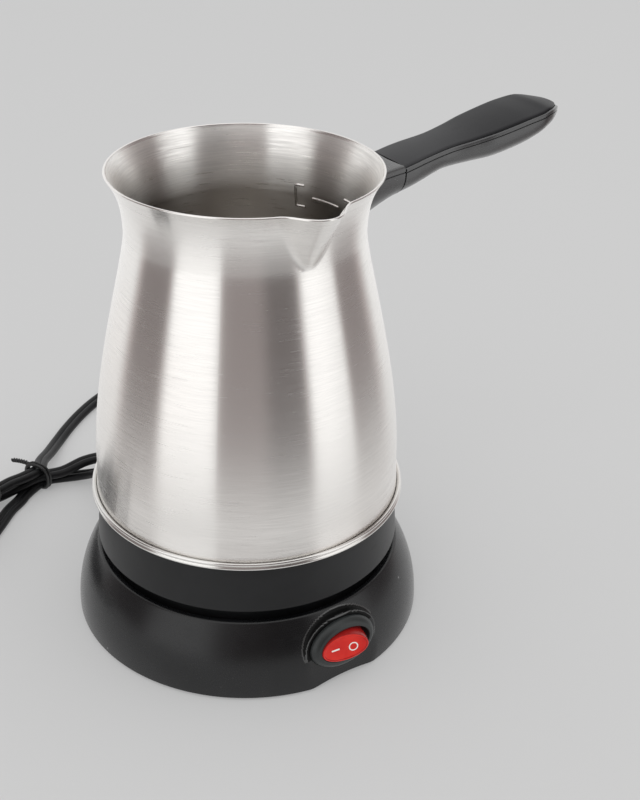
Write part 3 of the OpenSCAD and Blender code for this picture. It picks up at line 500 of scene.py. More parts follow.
# the cord comes out at the boot's tip
EXIT_TURN = math.radians(105)
EXIT_AWAY = (math.cos(EXIT_TURN), math.sin(EXIT_TURN))
EXIT = (82.38 * EXIT_AWAY[0], 82.38 * EXIT_AWAY[1], Z_EXIT)
LOOP = ([hank(u, v) for u, v in ((20, -5.2), (30, -10.2), (38, -14), (46, -16.6))]
        + [hank(u, -FOLD_R) for u in (56, 68, 80)]
        + [hank(FOLD_AT + FOLD_R * math.sin(a), -FOLD_R * math.cos(a))
           for a in np.radians(np.arange(0, 181, 15))]
        + [hank(u, FOLD_R) for u in (80, 68, 56)]
        + [hank(46, 16.6), hank(38, 13.6, 1.7), hank(30, 9.4, 2.0), hank(20, 5.0, 2.9)])
ROUTE = ([EXIT, (EXIT[0] + 2 * EXIT_AWAY[0], EXIT[1] + 2 * EXIT_AWAY[1], Z_EXIT),
          (-23.4, 86.4, 8.1), (-25.4, 91.6, 5.2), (-29.2, 96.4, 2.9), (-34.6, 99.8, 1.9),
          (-40, 100.8, 2.1), (*CROSS, 2.4), hank(9, -1.5, 1.9), hank(13, -3)]
         + LOOP
         + [hank(13, 3, 3.8), hank(9, 1.5, 4.9), (*CROSS, 5.7), (-35, 97.5, 6.2),
            (-25, 96.8, 8.6), (-15, 97.2, 7.6), (-5, 98.2, 4.2), (7, 99.5, 2.1)]
         + laid((20, 101), (36, 103), (52, 106), (66, 111.5), (76, 120.5), (81, 134), (78.5, 148),
                (68, 159), (52, 164.5), (34, 165), (18, 160.5), (3, 152.6), (-8, 144.6),
                (-17.6, 136))
         + [(-26, 127, 2), (-33, 118, 3.8), (-39.6, 109, 6.6), (*CROSS, 9), hank(8, -0.6, 9.6),
            hank(14, 0, 10), hank(20, 0, 10), hank(22.6, 0, 10)])


def smooth_line(points, spacing):
    """Points at even steps along a rounded line through the given ones."""
    points = np.array(points, float)
    ends = np.vstack([2 * points[0] - points[1], points, 2 * points[-1] - points[-2]])
    dense = []
    for a, b, c, d in zip(ends, ends[1:], ends[2:], ends[3:]):
        w0, w1, w2 = (max(1e-6, np.linalg.norm(q - p) ** 0.5) for p, q in ((a, b), (b, c), (c, d)))
        m1 = ((b - a) / w0 - (c - a) / (w0 + w1) + (c - b) / w1) * w1
        m2 = ((c - b) / w1 - (d - b) / (w1 + w2) + (d - c) / w2) * w1
        for t in np.linspace(0, 1, 24, endpoint=False):
            dense.append((2 * t ** 3 - 3 * t * t + 1) * b + (t ** 3 - 2 * t * t + t) * m1
                         + (3 * t * t - 2 * t ** 3) * c + (t ** 3 - t * t) * m2)
    dense = np.array(dense + [points[-1]])
    run = np.concatenate([[0], np.cumsum(np.linalg.norm(np.diff(dense, axis=0), axis=1))])
    steps = np.linspace(0, run[-1], max(2, int(run[-1] / spacing)))
    return np.stack([np.interp(steps, run, dense[:, k]) for k in range(3)], 1), run[-1]


def sweep(line, section, up=(0, 0, 1)):
    """A section (across, up) carried along a line and kept upright, as a closed skin."""
    ahead = units(np.gradient(line, axis=0))
    side = units(np.cross(up, ahead))
    top = np.cross(ahead, side)
    rings = np.array([p + np.outer(section[:, 0], s) + np.outer(section[:, 1], t)
                      for p, s, t in zip(line, side, top)])
    return skin(rings * MM, line[0] * MM, line[-1] * MM)


def twin_section(width, thick):
    """Two round cores side by side, with the groove between them on both sides."""
    r = thick / 2
    half = arc((width / 2 - r, 0), r, -128, 128, 14)
    left = [(-x, -y) for x, y in half]
    return np.array([(0, -0.62 * r)] + half + [(0, 0.62 * r)] + left)


def free_cord():
    """The cord's piece, its middle line in metres and that line's length."""
    line, length = smooth_line(ROUTE, 1.5)
    made = piece("cord", *sweep(line, twin_section(CORD_W, CORD_T)), "cord_black", "base",
                 ("cord_lead", "cord_bight", "cord_hank"), 60)
    return made, line * MM, length * MM


def twist_tie():
    """Plastic-covered wire, twice round the cords and twisted at its ends."""
    turn = math.radians(210)
    along = np.array([math.cos(turn), math.sin(turn), 0])
    across = np.array([-math.sin(turn), math.cos(turn), 0])
    middle, half = np.array([*CROSS, 6.3]), 5.4

    def wire(path, width, height, count):
        return sweep(np.array(path), ovals([(width, height, 0)], count)[0, :, :2], along)

    path = []
    for t in np.linspace(0, 2, 72):
        a = 2 * math.pi * t - math.pi / 2
        flat = math.copysign(abs(math.cos(a)) ** 0.7, math.cos(a))
        tall = math.copysign(abs(math.sin(a)) ** 0.8, math.sin(a))
        path.append(middle + across * half * flat + np.array([0, 0, half]) * tall
                    + along * (t - 1) * 1.5)
    wires = [wire(path, 0.75, 0.5, 10)]
    start = np.array([*CROSS, 10.9]) - across * 4.6
    twists, wound = 3.2, 0.55
    for first in (0, math.pi):
        tail = []
        for t in np.linspace(0, 1, 60):
            a = 2 * math.pi * twists * t + first
            tail.append(start - across * (0.3 + 8.5 * t) + along * wound * math.cos(a)
                        + np.array([0, 0, wound * math.sin(a) - 1.2 * t * t]))
        wires.append(wire(tail, 0.5, 0.42, 8))
    return piece("tie", *together(wires), "tie_black", "base", ("cord_tie",), 50)


def rounded_bar(width, height, corner):
    """A rounded oblong of those half sizes, as (across, up) points."""
    line = []
    for sx, sy, first in ((1, 1, 0), (-1, 1, 90), (-1, -1, 180), (1, -1, 270)):
        middle = (sx * (width - corner), sy * (height - corner))
        line += arc(middle, corner, first, first + 90, 6)
    return np.array(line)


def plug():
    """A flat two-pin plug with a waisted grip, lying along the hank."""
    # place along the hank, half width, half height and corner radius
    keys = np.array([
        (22, 3.6, 3.0, 2.6), (22.4, 4.0, 3.4, 2.9), (29, 5.2, 4.6, 3.8), (31, 8.0, 5.4, 4.4),
        (33, 10.4, 6.2, 4.8), (37, 12.2, 6.7, 5.0), (43, 13.0, 6.85, 5.0), (49, 13.8, 6.85, 5.0),
        (55, 15.4, 6.85, 5.0), (60, 16.8, 6.85, 5.0), (63.5, 17.5, 6.85, 5.0),
        (66, 17.6, 6.85, 5.0), (66.8, 17.2, 6.5, 4.8), (67, 16.6, 6.0, 4.5)])
    where = np.concatenate([np.linspace(22, 66, 56), [66.4, 66.8, 67]])
    sizes = [curve_through(keys[:, 0], keys[:, k])(where) for k in (1, 2, 3)]
    rings = []
    for u, w, h, corner in zip(where, *sizes):
        ring = rounded_bar(w, h, min(corner, w - 0.05, h - 0.05))
        rings.append(hank(u, 0, Z_PLUG) + np.outer(ring[:, 0], HANK_SIDE)
                     + np.outer(ring[:, 1], (0, 0, 1)))
    return piece("plug", *capped(rings), "plug_black", "base", ("plug_body",), 35)


def grown(name, tree, values):
    """The plain mesh that a tree makes with the given sizes."""
    host = bpy.data.objects.new(name, bpy.data.meshes.new(name + "_start"))
    bpy.context.scene.collection.objects.link(host)
    grow = host.modifiers.new("grow", "NODES")
    grow.node_group = tree
    for item in tree.interface.items_tree:
        if item.item_type == "SOCKET" and item.in_out == "INPUT":
            grow[item.identifier] = values[item.name]
    graph = bpy.context.evaluated_depsgraph_get()
    mesh = bpy.data.meshes.new_from_object(host.evaluated_get(graph))
    host.modifiers.clear()
    host.data = mesh
    return host


def ribbed_boot():
    """The boot's sleeve, and the ribs along it: rings that shrink towards its tip."""
    tree = bpy.data.node_groups.new("boot_ribs", "GeometryNodeTree")
    tree.interface.new_socket("Geometry", in_out="OUTPUT", socket_type="NodeSocketGeometry")
    for word, kind in (("Ribs", "Int"), ("Pitch", "Float"), ("Radius", "Float"),
                       ("Taper", "Float"), ("Rib width", "Float"), ("Material", "Material")):
        tree.interface.new_socket(word, in_out="INPUT", socket_type="NodeSocket" + kind)
    given = tree.nodes.new("NodeGroupInput").outputs

    def node(kind, inputs=(), **settings):
        """Adds a node with its settings and inputs, and gives its first output."""
        made = tree.nodes.new(kind)
        for word, value in settings.items():
            setattr(made, word, value)
        for key, value in dict(inputs).items():
            if isinstance(value, bpy.types.NodeSocket):
                tree.links.new(value, made.inputs[key])
            else:
                made.inputs[key].default_value = value
        return made.outputs[0]

    line = node("GeometryNodeMeshLine", {
        "Count": given["Ribs"], "Offset": node("ShaderNodeCombineXYZ", {2: given["Pitch"]})},
        mode="OFFSET")
    rib = node("GeometryNodeMeshCylinder", {
        "Vertices": 40, "Radius": given["Radius"], "Depth": given["Rib width"]})
    shrink = node("ShaderNodeMath", {0: node("GeometryNodeInputIndex"), 1: given["Taper"]},
                  operation="MULTIPLY")
    left = node("ShaderNodeMath", {0: 1.0, 1: shrink}, operation="SUBTRACT")
    placed = node("GeometryNodeInstanceOnPoints", {
        "Points": line, "Instance": rib,
        "Scale": node("ShaderNodeCombineXYZ", {0: left, 1: left, 2: 1.0})})
    real = node("GeometryNodeRealizeInstances", {0: placed})
    painted = node("GeometryNodeSetMaterial", {0: real, "Material": given["Material"]})
    tree.links.new(painted, tree.nodes.new("NodeGroupOutput").inputs[0])
    ribs = grown("boot_ribs", tree, {
        "Ribs": 6, "Pitch": 2.6 * MM, "Radius": 4.75 * MM, "Taper": 0.034, "Rib width": 1.3 * MM,
        "Material": LOOKS["cord_black"]})
    first_rib = Matrix.Translation((66.2 * MM, 0, Z_EXIT * MM))
    ribs.data.transform(Matrix.Rotation(EXIT_TURN, 4, "Z") @ first_rib
                        @ Matrix.Rotation(math.pi / 2, 4, "Y"))
    bevel = ribs.modifiers.new("soften", "BEVEL")
    bevel.width = 0.35 * MM
    bevel.segments = 2
    dress(ribs, "cord_black", "base")
    # radius, and distance from the pot's axis
    rows = [(4.3, 57.6), (4.3, 61.4), (5.2, 61.5), (5.2, 63.7), (4.9, 64.2), (4.35, 64.6),
            (3.9, 74), (3.6, 80.8), (3.4, 82.2), (2.6, 82.5)]
    angle = all_round(48)
    c, s = EXIT_AWAY
    rings = []
    for r, away in rows:
        across, up = r * np.cos(angle), r * np.sin(angle)
        rings.append(np.stack([away * c - across * s, away * s + across * c, Z_EXIT + up], 1))
    piece("boot", *capped(rings), "cord_black", "base", ("strain_relief",), 50)


cord, cord_path, cord_length = free_cord()
tie = twist_tie()
plug_piece = plug()
ribbed_boot()


# ---------------- pot

Z_FOOT, Z_RIM, SHEET = 48.1, 164.1, 0.8
# the spout starts this far below the rim, and its lip is this far from the axis
SPOUT_H, SPOUT_REACH = 20, 51.2
Z_SPOUT = Z_RIM - SPOUT_H
WALL_LINE = np.vstack([
    bezier((53.35, 0), (53.3, 4), (52.65, 7), (52.6, 12), 10),
    bezier((52.6, 12), (52.6, 45), (38.95, 86), (38.95, 96), 46)[1:],
    bezier((38.95, 96), (38.95, 107), (41.4, 111.6), (44.4, 116), 30)[1:]])


def wall_at(z):
    return np.interp(z - Z_FOOT, WALL_LINE[:, 1], WALL_LINE[:, 0])


def spout_at(z, angle):
    """Radius of the spout's outer side at a height, in directions measured from its middle."""
    share = np.clip((z - Z_SPOUT) / SPOUT_H, 1e-4, 1)
    half = 11 * share ** 0.5
    start = wall_at(Z_SPOUT)
    reach = start + (SPOUT_REACH - start) * share
    side = np.sqrt(wall_at(z) ** 2 - half ** 2) - 0.6
    bend = np.maximum((reach - side) * np.sin(angle) ** 2 / half ** 2, 1e-7)
    out = (-np.cos(angle) + np.sqrt(np.cos(angle) ** 2 + 4 * bend * reach)) / (2 * bend)
    return np.where(np.abs(angle) < 1.0, out, 0)


def pot_wall():
    """The pot's sheet with its spout, from the middle of its foot up, over the rim and back in."""
    turns = np.concatenate([np.arange(-40, 40, 0.5), np.arange(40, 320, 2)])
    angle = np.radians(turns)
    signed = (angle + math.pi) % (2 * math.pi) - math.pi
    heights = Z_FOOT + WALL_LINE[:, 1]
    heights[-1] = Z_RIM - SHEET / 2
    outer = []
    for z in heights:
        wall = np.full(len(angle), wall_at(z))
        if z > Z_SPOUT:
            wall = soft_max(wall, spout_at(z, signed), 0.7 + 1.8 * (z - Z_SPOUT) / SPOUT_H)
        outer.append(wall)
    outer = np.array(outer)
    # the sheet is measured square to itself, so where the spout slants it is wider level
    slope = np.gradient(np.concatenate([outer, outer[:, :2]], 1), axis=1)[:, :len(angle)]
    span = np.gradient(np.concatenate([turns, [320, 322]]))[:len(angle)]
    lean = np.clip(np.sqrt(1 + (slope / np.radians(span) / outer) ** 2), 1, 2.2)
    inner = outer - SHEET * lean
    foot_h, foot_r = 4, 3.2
    foot = inner[np.searchsorted(heights, Z_FOOT + foot_h)]
    middle, thick = (outer[-1] + inner[-1]) / 2, (outer[-1] - inner[-1]) / 2
    rows = ([(r, Z_FOOT) for r in (15, 30, 45, 51, 52.8)] + list(zip(outer, heights))
            + [(middle + thick * math.cos(a), heights[-1] + SHEET / 2 * math.sin(a))
               for a in np.radians(np.linspace(20, 160, 8))]
            + [(r, z) for r, z in zip(inner[::-1], heights[::-1]) if z > Z_FOOT + foot_h]
            + [(foot - foot_r + foot_r * math.cos(a), Z_FOOT + SHEET + foot_r * (1 - math.sin(a)))
               for a in np.radians(np.linspace(0, 90, 6))]
            + [(r, Z_FOOT + SHEET) for r in (40, 28, 14)])
    grid = turned(rows, angle - math.pi / 2) * MM
    made = piece("pot_wall", *skin(grid, (0, 0, Z_FOOT * MM), (0, 0, (Z_FOOT + SHEET) * MM)),
                 "pot_steel", "pot", ("pot_shell",), 35)
    x, y, z = middles(made).T
    inward = (facings(made)[:, :2] * np.stack([x, y], 1)).sum(1) < -0.3 * np.hypot(x, y)
    # the inside faces get the inside steel, painted brighter, and darker below the neck as painted
    # shade
    paint(made, ("pot_inside",), inward & (z < Z_RIM - 1))


def fill_mark():
    """A raised bracket inside the neck, up to which the pot is filled."""
    section = [(0.55, -0.2), (0.5, 0.1), (0.3, 0.32), (0, 0.4), (-0.3, 0.32), (-0.5, 0.1),
               (-0.55, -0.2)]

    def ridge(line):
        """line holds (turn in degrees, height) pairs; the ridge follows the wall."""
        path = []
        for a, z in line:
            r = wall_at(z) - SHEET - 0.05
            path.append((r * math.cos(math.radians(a)), r * math.sin(math.radians(a)), z))
        path = np.array(path)
        inward = units(-path * (1, 1, 0))
        side = np.cross(inward, units(np.gradient(path, axis=0)))
        rings = [[p + s * w + n * h for w, h in section] for p, s, n in zip(path, side, inward)]
        return capped(rings)

    low, high = 137.8, 145.6
    ridges = [ridge([(a, high) for a in np.linspace(edge + reach, edge, 6)]
                    + [(edge, z) for z in np.linspace(high - 0.5, low + 0.5, 8)]
                    + [(a, low) for a in np.linspace(edge, edge + reach, 6)])
              for edge, reach in ((-4, 5), (34, -5))]
    ridges.append(ridge([(a, (low + high) / 2) for a in np.linspace(6, 24, 24)]))
    piece("fill_mark", *together(ridges), "pot_steel", "pot", (), 60)


def bead():
    """The double bead round the foot of the wall, with its flange under the pot."""
    line = ([(46.6, 48.05), (46.6, 47.55), (50, 47.53), (53.75, 47.53), (54.2, 47.9)]
            + arc((54.4, 48.85), 0.62, -70, 55, 9) + [(54.62, 49.56)]
            + arc((54.2, 50.15), 0.62, -25, 140, 12)
            + [(53.5, 50.4), (53.42, 50.1), (53.42, 48.07)])
    piece("bead", *skin(turned(line, all_round(192)) * MM, closed=True), "bead_chrome", "pot",
          ("bead_ring",), 35)


pot_wall()
bead()
fill_mark()


# ---------------- base and switch

# the skirt's section is two arcs round these (radius, height) places
SKIRT_MID, SKIRT_R, LIP_R = (19.4, 1.0), 43.0, 1.4
Z_LIP, Z_BOSS, Z_DECK, Z_UNDER, Z_BOTTOM = 26.4, 25.0, 22.8, 21.0, 1.0
LIP_TURN = math.asin((Z_LIP - SKIRT_MID[1] - LIP_R) / (SKIRT_R - LIP_R))
LIP_MID = (SKIRT_MID[0] + (SKIRT_R - LIP_R) * math.cos(LIP_TURN),
           SKIRT_MID[1] + (SKIRT_R - LIP_R) * math.sin(LIP_TURN))
# the switch's own frame: x along its oval, y up it, z out of its face
SWITCH_TURN = math.radians(-87)
SWITCH = (Matrix.Rotation(SWITCH_TURN + math.pi / 2, 4, "Z")
          @ Matrix.Translation((0, -59.2, 15.1)) @ Matrix.Rotation(math.radians(82), 4, "X"))
INTO_SWITCH = SWITCH.inverted()


def moved(points, matrix):
    m = np.array(matrix)
    return np.asarray(points, float) @ m[:3, :3].T + m[:3, 3]


def in_switch(points):
    """Points of the switch's own frame, in millimetres, put in their place in metres."""
    return moved(points, SWITCH) * MM


def base_depth(points):
    """How far points lie outside the base: the skirt, its oval boss and the boss's flat."""
    r = np.hypot(points[..., 0], points[..., 1])
    z = points[..., 2]
    turn = np.arctan2(z - SKIRT_MID[1], r - SKIRT_MID[0])
    over = np.arctan2(z - LIP_MID[1], r - LIP_MID[0])
    side = np.hypot(r - SKIRT_MID[0], z - SKIRT_MID[1]) - SKIRT_R
    lip = np.where(over < math.pi / 2, np.hypot(r - LIP_MID[0], z - LIP_MID[1]) - LIP_R, z - Z_LIP)
    skirt = np.where(turn < LIP_TURN, side, lip)
    x, y, out = np.moveaxis(moved(points, INTO_SWITCH), -1, 0)
    depth = np.clip(-out / 4.6, 0, 1)
    a, b = 14.1 + 0.5 * depth, 10.2 + 0.9 * depth
    k0 = np.hypot(x / a, y / b)
    k1 = np.hypot(x / a ** 2, y / b ** 2)
    oval = k0 * (k0 - 1) / np.maximum(k1, 1e-6)
    oval = np.maximum(soft_max(oval, z - Z_BOSS, 0.5), -out - 8)
    return soft_max(-soft_max(-skirt, -oval, 0.9), out, 0.35)


def base_skirt():
    """The base's shell, found along fans of rays from inside it, with the switch's window."""
    angle = np.radians(np.concatenate([np.arange(-103.5, -70.5, 0.25),
                                       np.arange(-70.5, 256.5, 2.0)]))
    count = len(angle)
    fan = np.radians(np.concatenate([np.linspace(-35.07, 0, 14), np.linspace(1.2, 62, 62),
                                     np.linspace(63, 76, 10), np.linspace(76.6, 82.4, 14)]))
    centre = np.array([51.0, 9.0])
    low, high = np.zeros((len(fan), count)), np.full((len(fan), count), 28.0)
    cos, sin = np.cos(fan)[:, None], np.sin(fan)[:, None]

    def at(reach):
        return turned(zip(centre[0] + reach * cos, centre[1] + reach * sin), angle)

    for _ in range(26):
        middle = (low + high) / 2
        inside = base_depth(at(middle)) < 0
        low, high = np.where(inside, middle, low), np.where(inside, high, middle)
    outer = at(low)
    outer[:, :, 2] = np.maximum(outer[:, :, 2], Z_BOTTOM)
    inner = at(np.maximum(low - 1.8 / np.maximum(np.cos(fan - 0.35), 0.8)[:, None], 1.0))
    inner[:, :, 2] = np.clip(inner[:, :, 2], Z_BOTTOM, Z_UNDER)
    line = ([(53.05, Z_LIP), (52.9, Z_LIP)] + arc((52.75, Z_LIP - 0.35), 0.35, 90, 180, 4)
            + [(52.4, 24.0)] + arc((51.9, Z_DECK + 0.5), 0.5, 0, -90, 4)
            + [(44, Z_DECK), (30, Z_DECK), (15.1, Z_DECK), (14.7, Z_DECK - 0.2),
               (14.6, Z_DECK - 0.6), (14.6, Z_UNDER), (30, Z_UNDER), (44, Z_UNDER)])
    grid = np.concatenate([outer, turned(line, angle), inner[::-1]])
    points, faces = skin(grid * MM, closed=True)
    # the window goes through the outer rows and the inner rows that mirror them
    x, y, out = np.moveaxis(moved(outer, INTO_SWITCH), -1, 0)
    gone = ((x / 11.3) ** 2 + (y / 7.5) ** 2 < 1) & (out > -9) & (outer[..., 2] < 22.2)
    both = gone & np.roll(gone, -1, 1)
    window = both[:-1] & both[1:]
    rows, deep = len(grid), len(window)
    cut = np.zeros((rows, count), bool)
    cut[:deep] = window
    cut[rows - 1 - deep:rows - 1] = window[::-1]
    kept = [f for f, out in zip(faces, cut.ravel()) if not out]
    for i, k in np.argwhere(window).tolist():
        q = (k + 1) % count
        for di, dk, a, b in ((-1, 0, (i, k), (i, q)), (1, 0, (i + 1, k), (i + 1, q)),
                             (0, -1, (i, k), (i + 1, k)), (0, 1, (i, q), (i + 1, q))):
            if not cut[i + di, (k + dk) % count]:
                far = [(rows - 1 - p, c) for p, c in (b, a)]
                kept.append([p * count + c for p, c in (a, b, *far)])
    made = piece("base_skirt", points, kept, "black_gloss", "base", ("base_shell",), 35)
    # the upper left of the boss gets painted shade, and its edges there painted highlight lines
    x, y, z = moved(middles(made), INTO_SWITCH).T
    out = (x / 14.6) ** 2 + (y / 11) ** 2
    boss = (z > -4) & (z < 0.1) & (out < 1.09) & (y > 0.5 + 0.25 * x)
    edge = (out > 1.02) | ((z > -0.42) & (z < -0.08))
    paint(made, ("boss_painted_shade", "boss_edge_painted_highlight"), np.where(boss, 1 + edge, 0))


def bezel():
    """The switch's oval bezel, domed towards its window, and the case behind it."""
    dome = []
    for t in np.linspace(0, 1, 12)[1:]:
        inset, rise = 2.35 * t ** 1.15, 2.2 * math.sin(t * math.pi / 2) ** 0.9
        dome.append((12.8 - inset, 8.9 - inset, 0.75 + rise))
    case = [(10.6, 6.3, -14), (10.6, 6.3, -7), (10.6, 6.3, -0.3)]
    front = [(12.6, 8.7, 0.0), (12.8, 8.9, 0.15), (12.8, 8.9, 0.6)]
    window = [(10.15, 6.25, 3.06), (9.95, 6.05, 3.08), (9.8, 5.9, 3.0), (9.7, 5.8, 2.8),
              (9.7, 5.8, -6), (9.7, 5.8, -13)]
    back, floor_top = in_switch([(0, 0, -14), (0, 0, -13)])
    piece("bezel", *skin(in_switch(ovals(case + front + dome + window)), back, floor_top),
          "switch_black", "base", ("switch_case",), 38)


# the rocker's dished face, its tilt at rest and its axle's height in the switch's frame
FACE_TOP, FACE_R = 44.4, 40.0
ROCKER_TILT, Z_AXLE = math.radians(12), -3
ROCKER_LEVELS, ROCKER_LONG, ROCKER_WIDE = np.array([
    (-3.6, 9.3, 5.4), (-3, 9.3, 5.4), (3.1, 8.9, 5.3), (6.1, 8.15, 4.5)]).T


def face_level(x):
    return FACE_TOP - np.sqrt(FACE_R ** 2 - x * x)


def in_rocker(points):
    """Points of the rocker's frame, tilted about its axle to the position it rests in."""
    c, s = math.cos(ROCKER_TILT), math.sin(ROCKER_TILT)
    p = np.array(points, float)
    x, z = p[..., 0].copy(), p[..., 2] - Z_AXLE
    p[..., 0] = x * c - z * s
    p[..., 2] = x * s + z * c + Z_AXLE
    return in_switch(p)


def rocker_cap():
    """The red rocker: its walls, a rounded edge and the dished face, open below."""
    a = all_round(96)
    dish = face_level(7.9 * np.cos(a))

    def ring(z, inset):
        """An oval at one height, or at a height for each of its points."""
        z = np.broadcast_to(z, a.shape)
        long, wide = (np.interp(z, ROCKER_LEVELS, half) for half in (ROCKER_LONG, ROCKER_WIDE))
        return np.stack([(long - inset) * np.cos(a), (wide - inset) * np.sin(a), z], 1)

    rows = [ring(2.0, 1.3), ring(-3.6, 1.2), ring(-3.6, 0.15), ring(-3.45, 0), ring(-1, 0),
            ring(1.5, 0), ring(2.6, 0)]
    for t in np.radians(np.linspace(0, 90, 7)):
        rows.append(ring(dish + 0.05 + 0.3 * math.sin(t), 0.3 - 0.3 * math.cos(t)))
    rows += [ring(dish + 0.33, 0.5), ring(dish + 0.1, 0.72), ring(dish, 0.95)]
    edge = rows[-1]
    for share in (0.93, 0.8, 0.6, 0.4, 0.2):
        flat = edge * (share, share, 1)
        flat[:, 2] = face_level(flat[:, 0])
        rows.append(flat)
    low, top = in_rocker([(0, 0, 2.0), (0, 0, face_level(0))])
    made = piece("rocker_cap", *skin(in_rocker(rows), low, top), "rocker_red", "rocker",
                 ("rocker",), 50)
    # the side walls get the darker red: painted shade
    start, end = in_rocker([(0, 0, 0), (0, 0, 1)])
    paint(made, ("rocker_wall_painted_shade",), abs(facings(made) @ (end - start) / MM) < 0.75)


def rocker_marks():
    """The dash and ring printed on the rocker."""
    def on_face(loop, lift):
        return in_rocker([(x, y, face_level(x) + lift) for x, y in loop])

    half, ring_at = 0.05, (3.1, -0.4)
    dash = rounded_bar(1.5, 0.3, 0.28) - (3.4, 0)
    low, high = (on_face([dash.mean(0)], lift)[0] for lift in (-half, half))
    a = all_round(48)
    outer, inner = (ring_at + r * np.stack([np.cos(a), np.sin(a)], 1) for r in (1.66, 1.24))
    marks = [skin([on_face(dash, -half), on_face(dash, half)], low, high),
             skin([on_face(outer, -half), on_face(outer, half),
                   on_face(inner, half), on_face(inner, -half)], closed=True)]
    piece("rocker_marks", *together(marks), "white_plastic", "rocker", (), 50)


def rocker_post():
    """The post under the rocker that holds its plunger and spring."""
    line = [(1.25, 1.0), (1.25, -6.2), (1.4, -6.4), (1.85, -6.4), (1.95, -6.2), (1.95, 2.3)]
    ends = in_rocker([(0, 0, 1.0), (0, 0, 2.3)])
    piece("rocker_post", *skin(in_rocker(turned(line, all_round(32))), *ends), "rocker_red",
          "rocker")


base_skirt()
bezel()
rocker_cap()
rocker_marks()
rocker_post()


# ---------------- handle

# where the grip meets the collar, its tip, and the height of its seam
SEAM, TIP, Z_TOP = 55.25, 125.1, 158.1
# share of the length, half width, top and underside above the level of the seam
GRIP = np.array([
    (0, 10.1, -0.6, -12.4), (.06, 10.1, 0.4, -11.3), (.12, 9.85, 1.3, -9.9),
    (.26, 9.2, 2.9, -6.8), (.4, 10.4, 4.5, -6.05), (.52, 11.75, 6.2, -5.7),
    (.64, 12.25, 7.9, -4.4), (.72, 12.35, 9.0, -3.05), (.8, 12.1, 9.85, -1.0),
    (.86, 10.9, 10.5, 0.9), (.94, 7.1, 10.0, 3.7), (.985, 3.6, 9.1, 5.6)])
# the grip's rim and the floor of the lid's seat, below its top
RIM_DROP, SEAT_DROP = 0.85, 2.4


def grip_stations():
    """Shares of the grip's length, close together where it ends."""
    end = 1 - 0.14 * (1 - np.linspace(0, 1, 34)[1:]) ** 2
    return np.concatenate([np.linspace(0, 0.86, 60), end])


def grip_shape(s):
    """Half width, top and depth of the grip at shares of its length."""
    near = np.sqrt(np.maximum(1 - s, 0))
    key = -np.sqrt(1 - GRIP[:, 0])
    last = math.sqrt(0.015)
    width, top, low = (curve_through(key, GRIP[:, k]) for k in (1, 2, 3))
    _, end_w, end_t, end_low = GRIP[-1]
    w = np.where(near > last, width(-near), end_w * near / last)
    t = np.where(near > last, top(-near), end_t - 0.5 * (1 - near / last))
    d = np.where(near > last, top(-near) - low(-near), (end_t - end_low) * (near / last) ** 0.8)
    return w, Z_TOP + t, d


def bowed(x, y):
    """Places along the handle, with the seam bowed a little towards the pot in its middle."""
    return x - 1.1 * max(0.0, 1 - abs(x - SEAM) / 7) * (1 - min(1, abs(y) / 10.1) ** 2)


def outline_inside(by):
    """The grip's outline seen from above, drawn in by a distance: x and half width."""
    s = grip_stations()
    x, w = SEAM + s * (TIP - SEAM), grip_shape(s)[0]
    dx, dw = np.gradient(x), np.gradient(w)
    size = np.hypot(dx, dw)
    px, pw = x + by * dw / size, w - by * dx / size
    px[0] = x[0]
    good = pw > 0
    px, pw = px[good], pw[good]
    return np.append(px, px[-1] + pw[-1] * 0.4), np.append(pw, 0.0)


def lower_side(w, d):
    """The grip's rim, its groove and its underside, from one edge round to the other."""
    r = RIM_DROP
    line = [(w - 0.8, -r), (w - 0.4, -r - 0.05), (w - 0.12, -r - 0.2), (w, -r - 0.5),
            (w, -r - 0.95), (w - 0.35, -r - 1.05), (w - 0.35, -r - 1.35), (w, -r - 1.45)]
    deep = max(d - r - 1.5, 0.05)
    for a in np.radians(np.linspace(0, 90, 22))[1:]:
        line.append((w * math.cos(a), -r - 1.5 - deep * math.sin(a) ** 0.8))
    return both_sides(line)


def handle_grip():
    """The grip's lower shell, with the seat for its lid."""
    s = grip_stations()
    xs = SEAM + s * (TIP - SEAM)
    lid_x, lid_w = outline_inside(0.95)
    rings = []
    for x, w, top, d in zip(xs, *grip_shape(s)):
        w = max(w, 0.12)
        seat = np.interp(x, lid_x, lid_w, right=0.0)
        low = -SEAT_DROP if seat > 0 else -RIM_DROP - 0.02
        squeeze = min(1.0, w / 2.2)
        side = [(y, -RIM_DROP + (z + RIM_DROP) * squeeze if z > -RIM_DROP - 1.5 else z)
                for y, z in lower_side(w, max(d, 2.6))]
        edge = max(seat + 0.05, w - 0.8)
        side[0], side[-1] = (edge, -RIM_DROP), (-edge, -RIM_DROP)
        wall = [(seat, low), (seat, (low - RIM_DROP) / 2), (seat, -RIM_DROP - 0.05)]
        ring = (wall + side + [(-y, z) for y, z in wall[::-1]]
                + [(-seat / 2, low), (0, low), (seat / 2, low)])
        rings.append([(bowed(x, y), y, top + z) for y, z in ring])
    piece("handle_grip", *capped(rings), "handle_black", "pot", ("handle_lower",), 42)


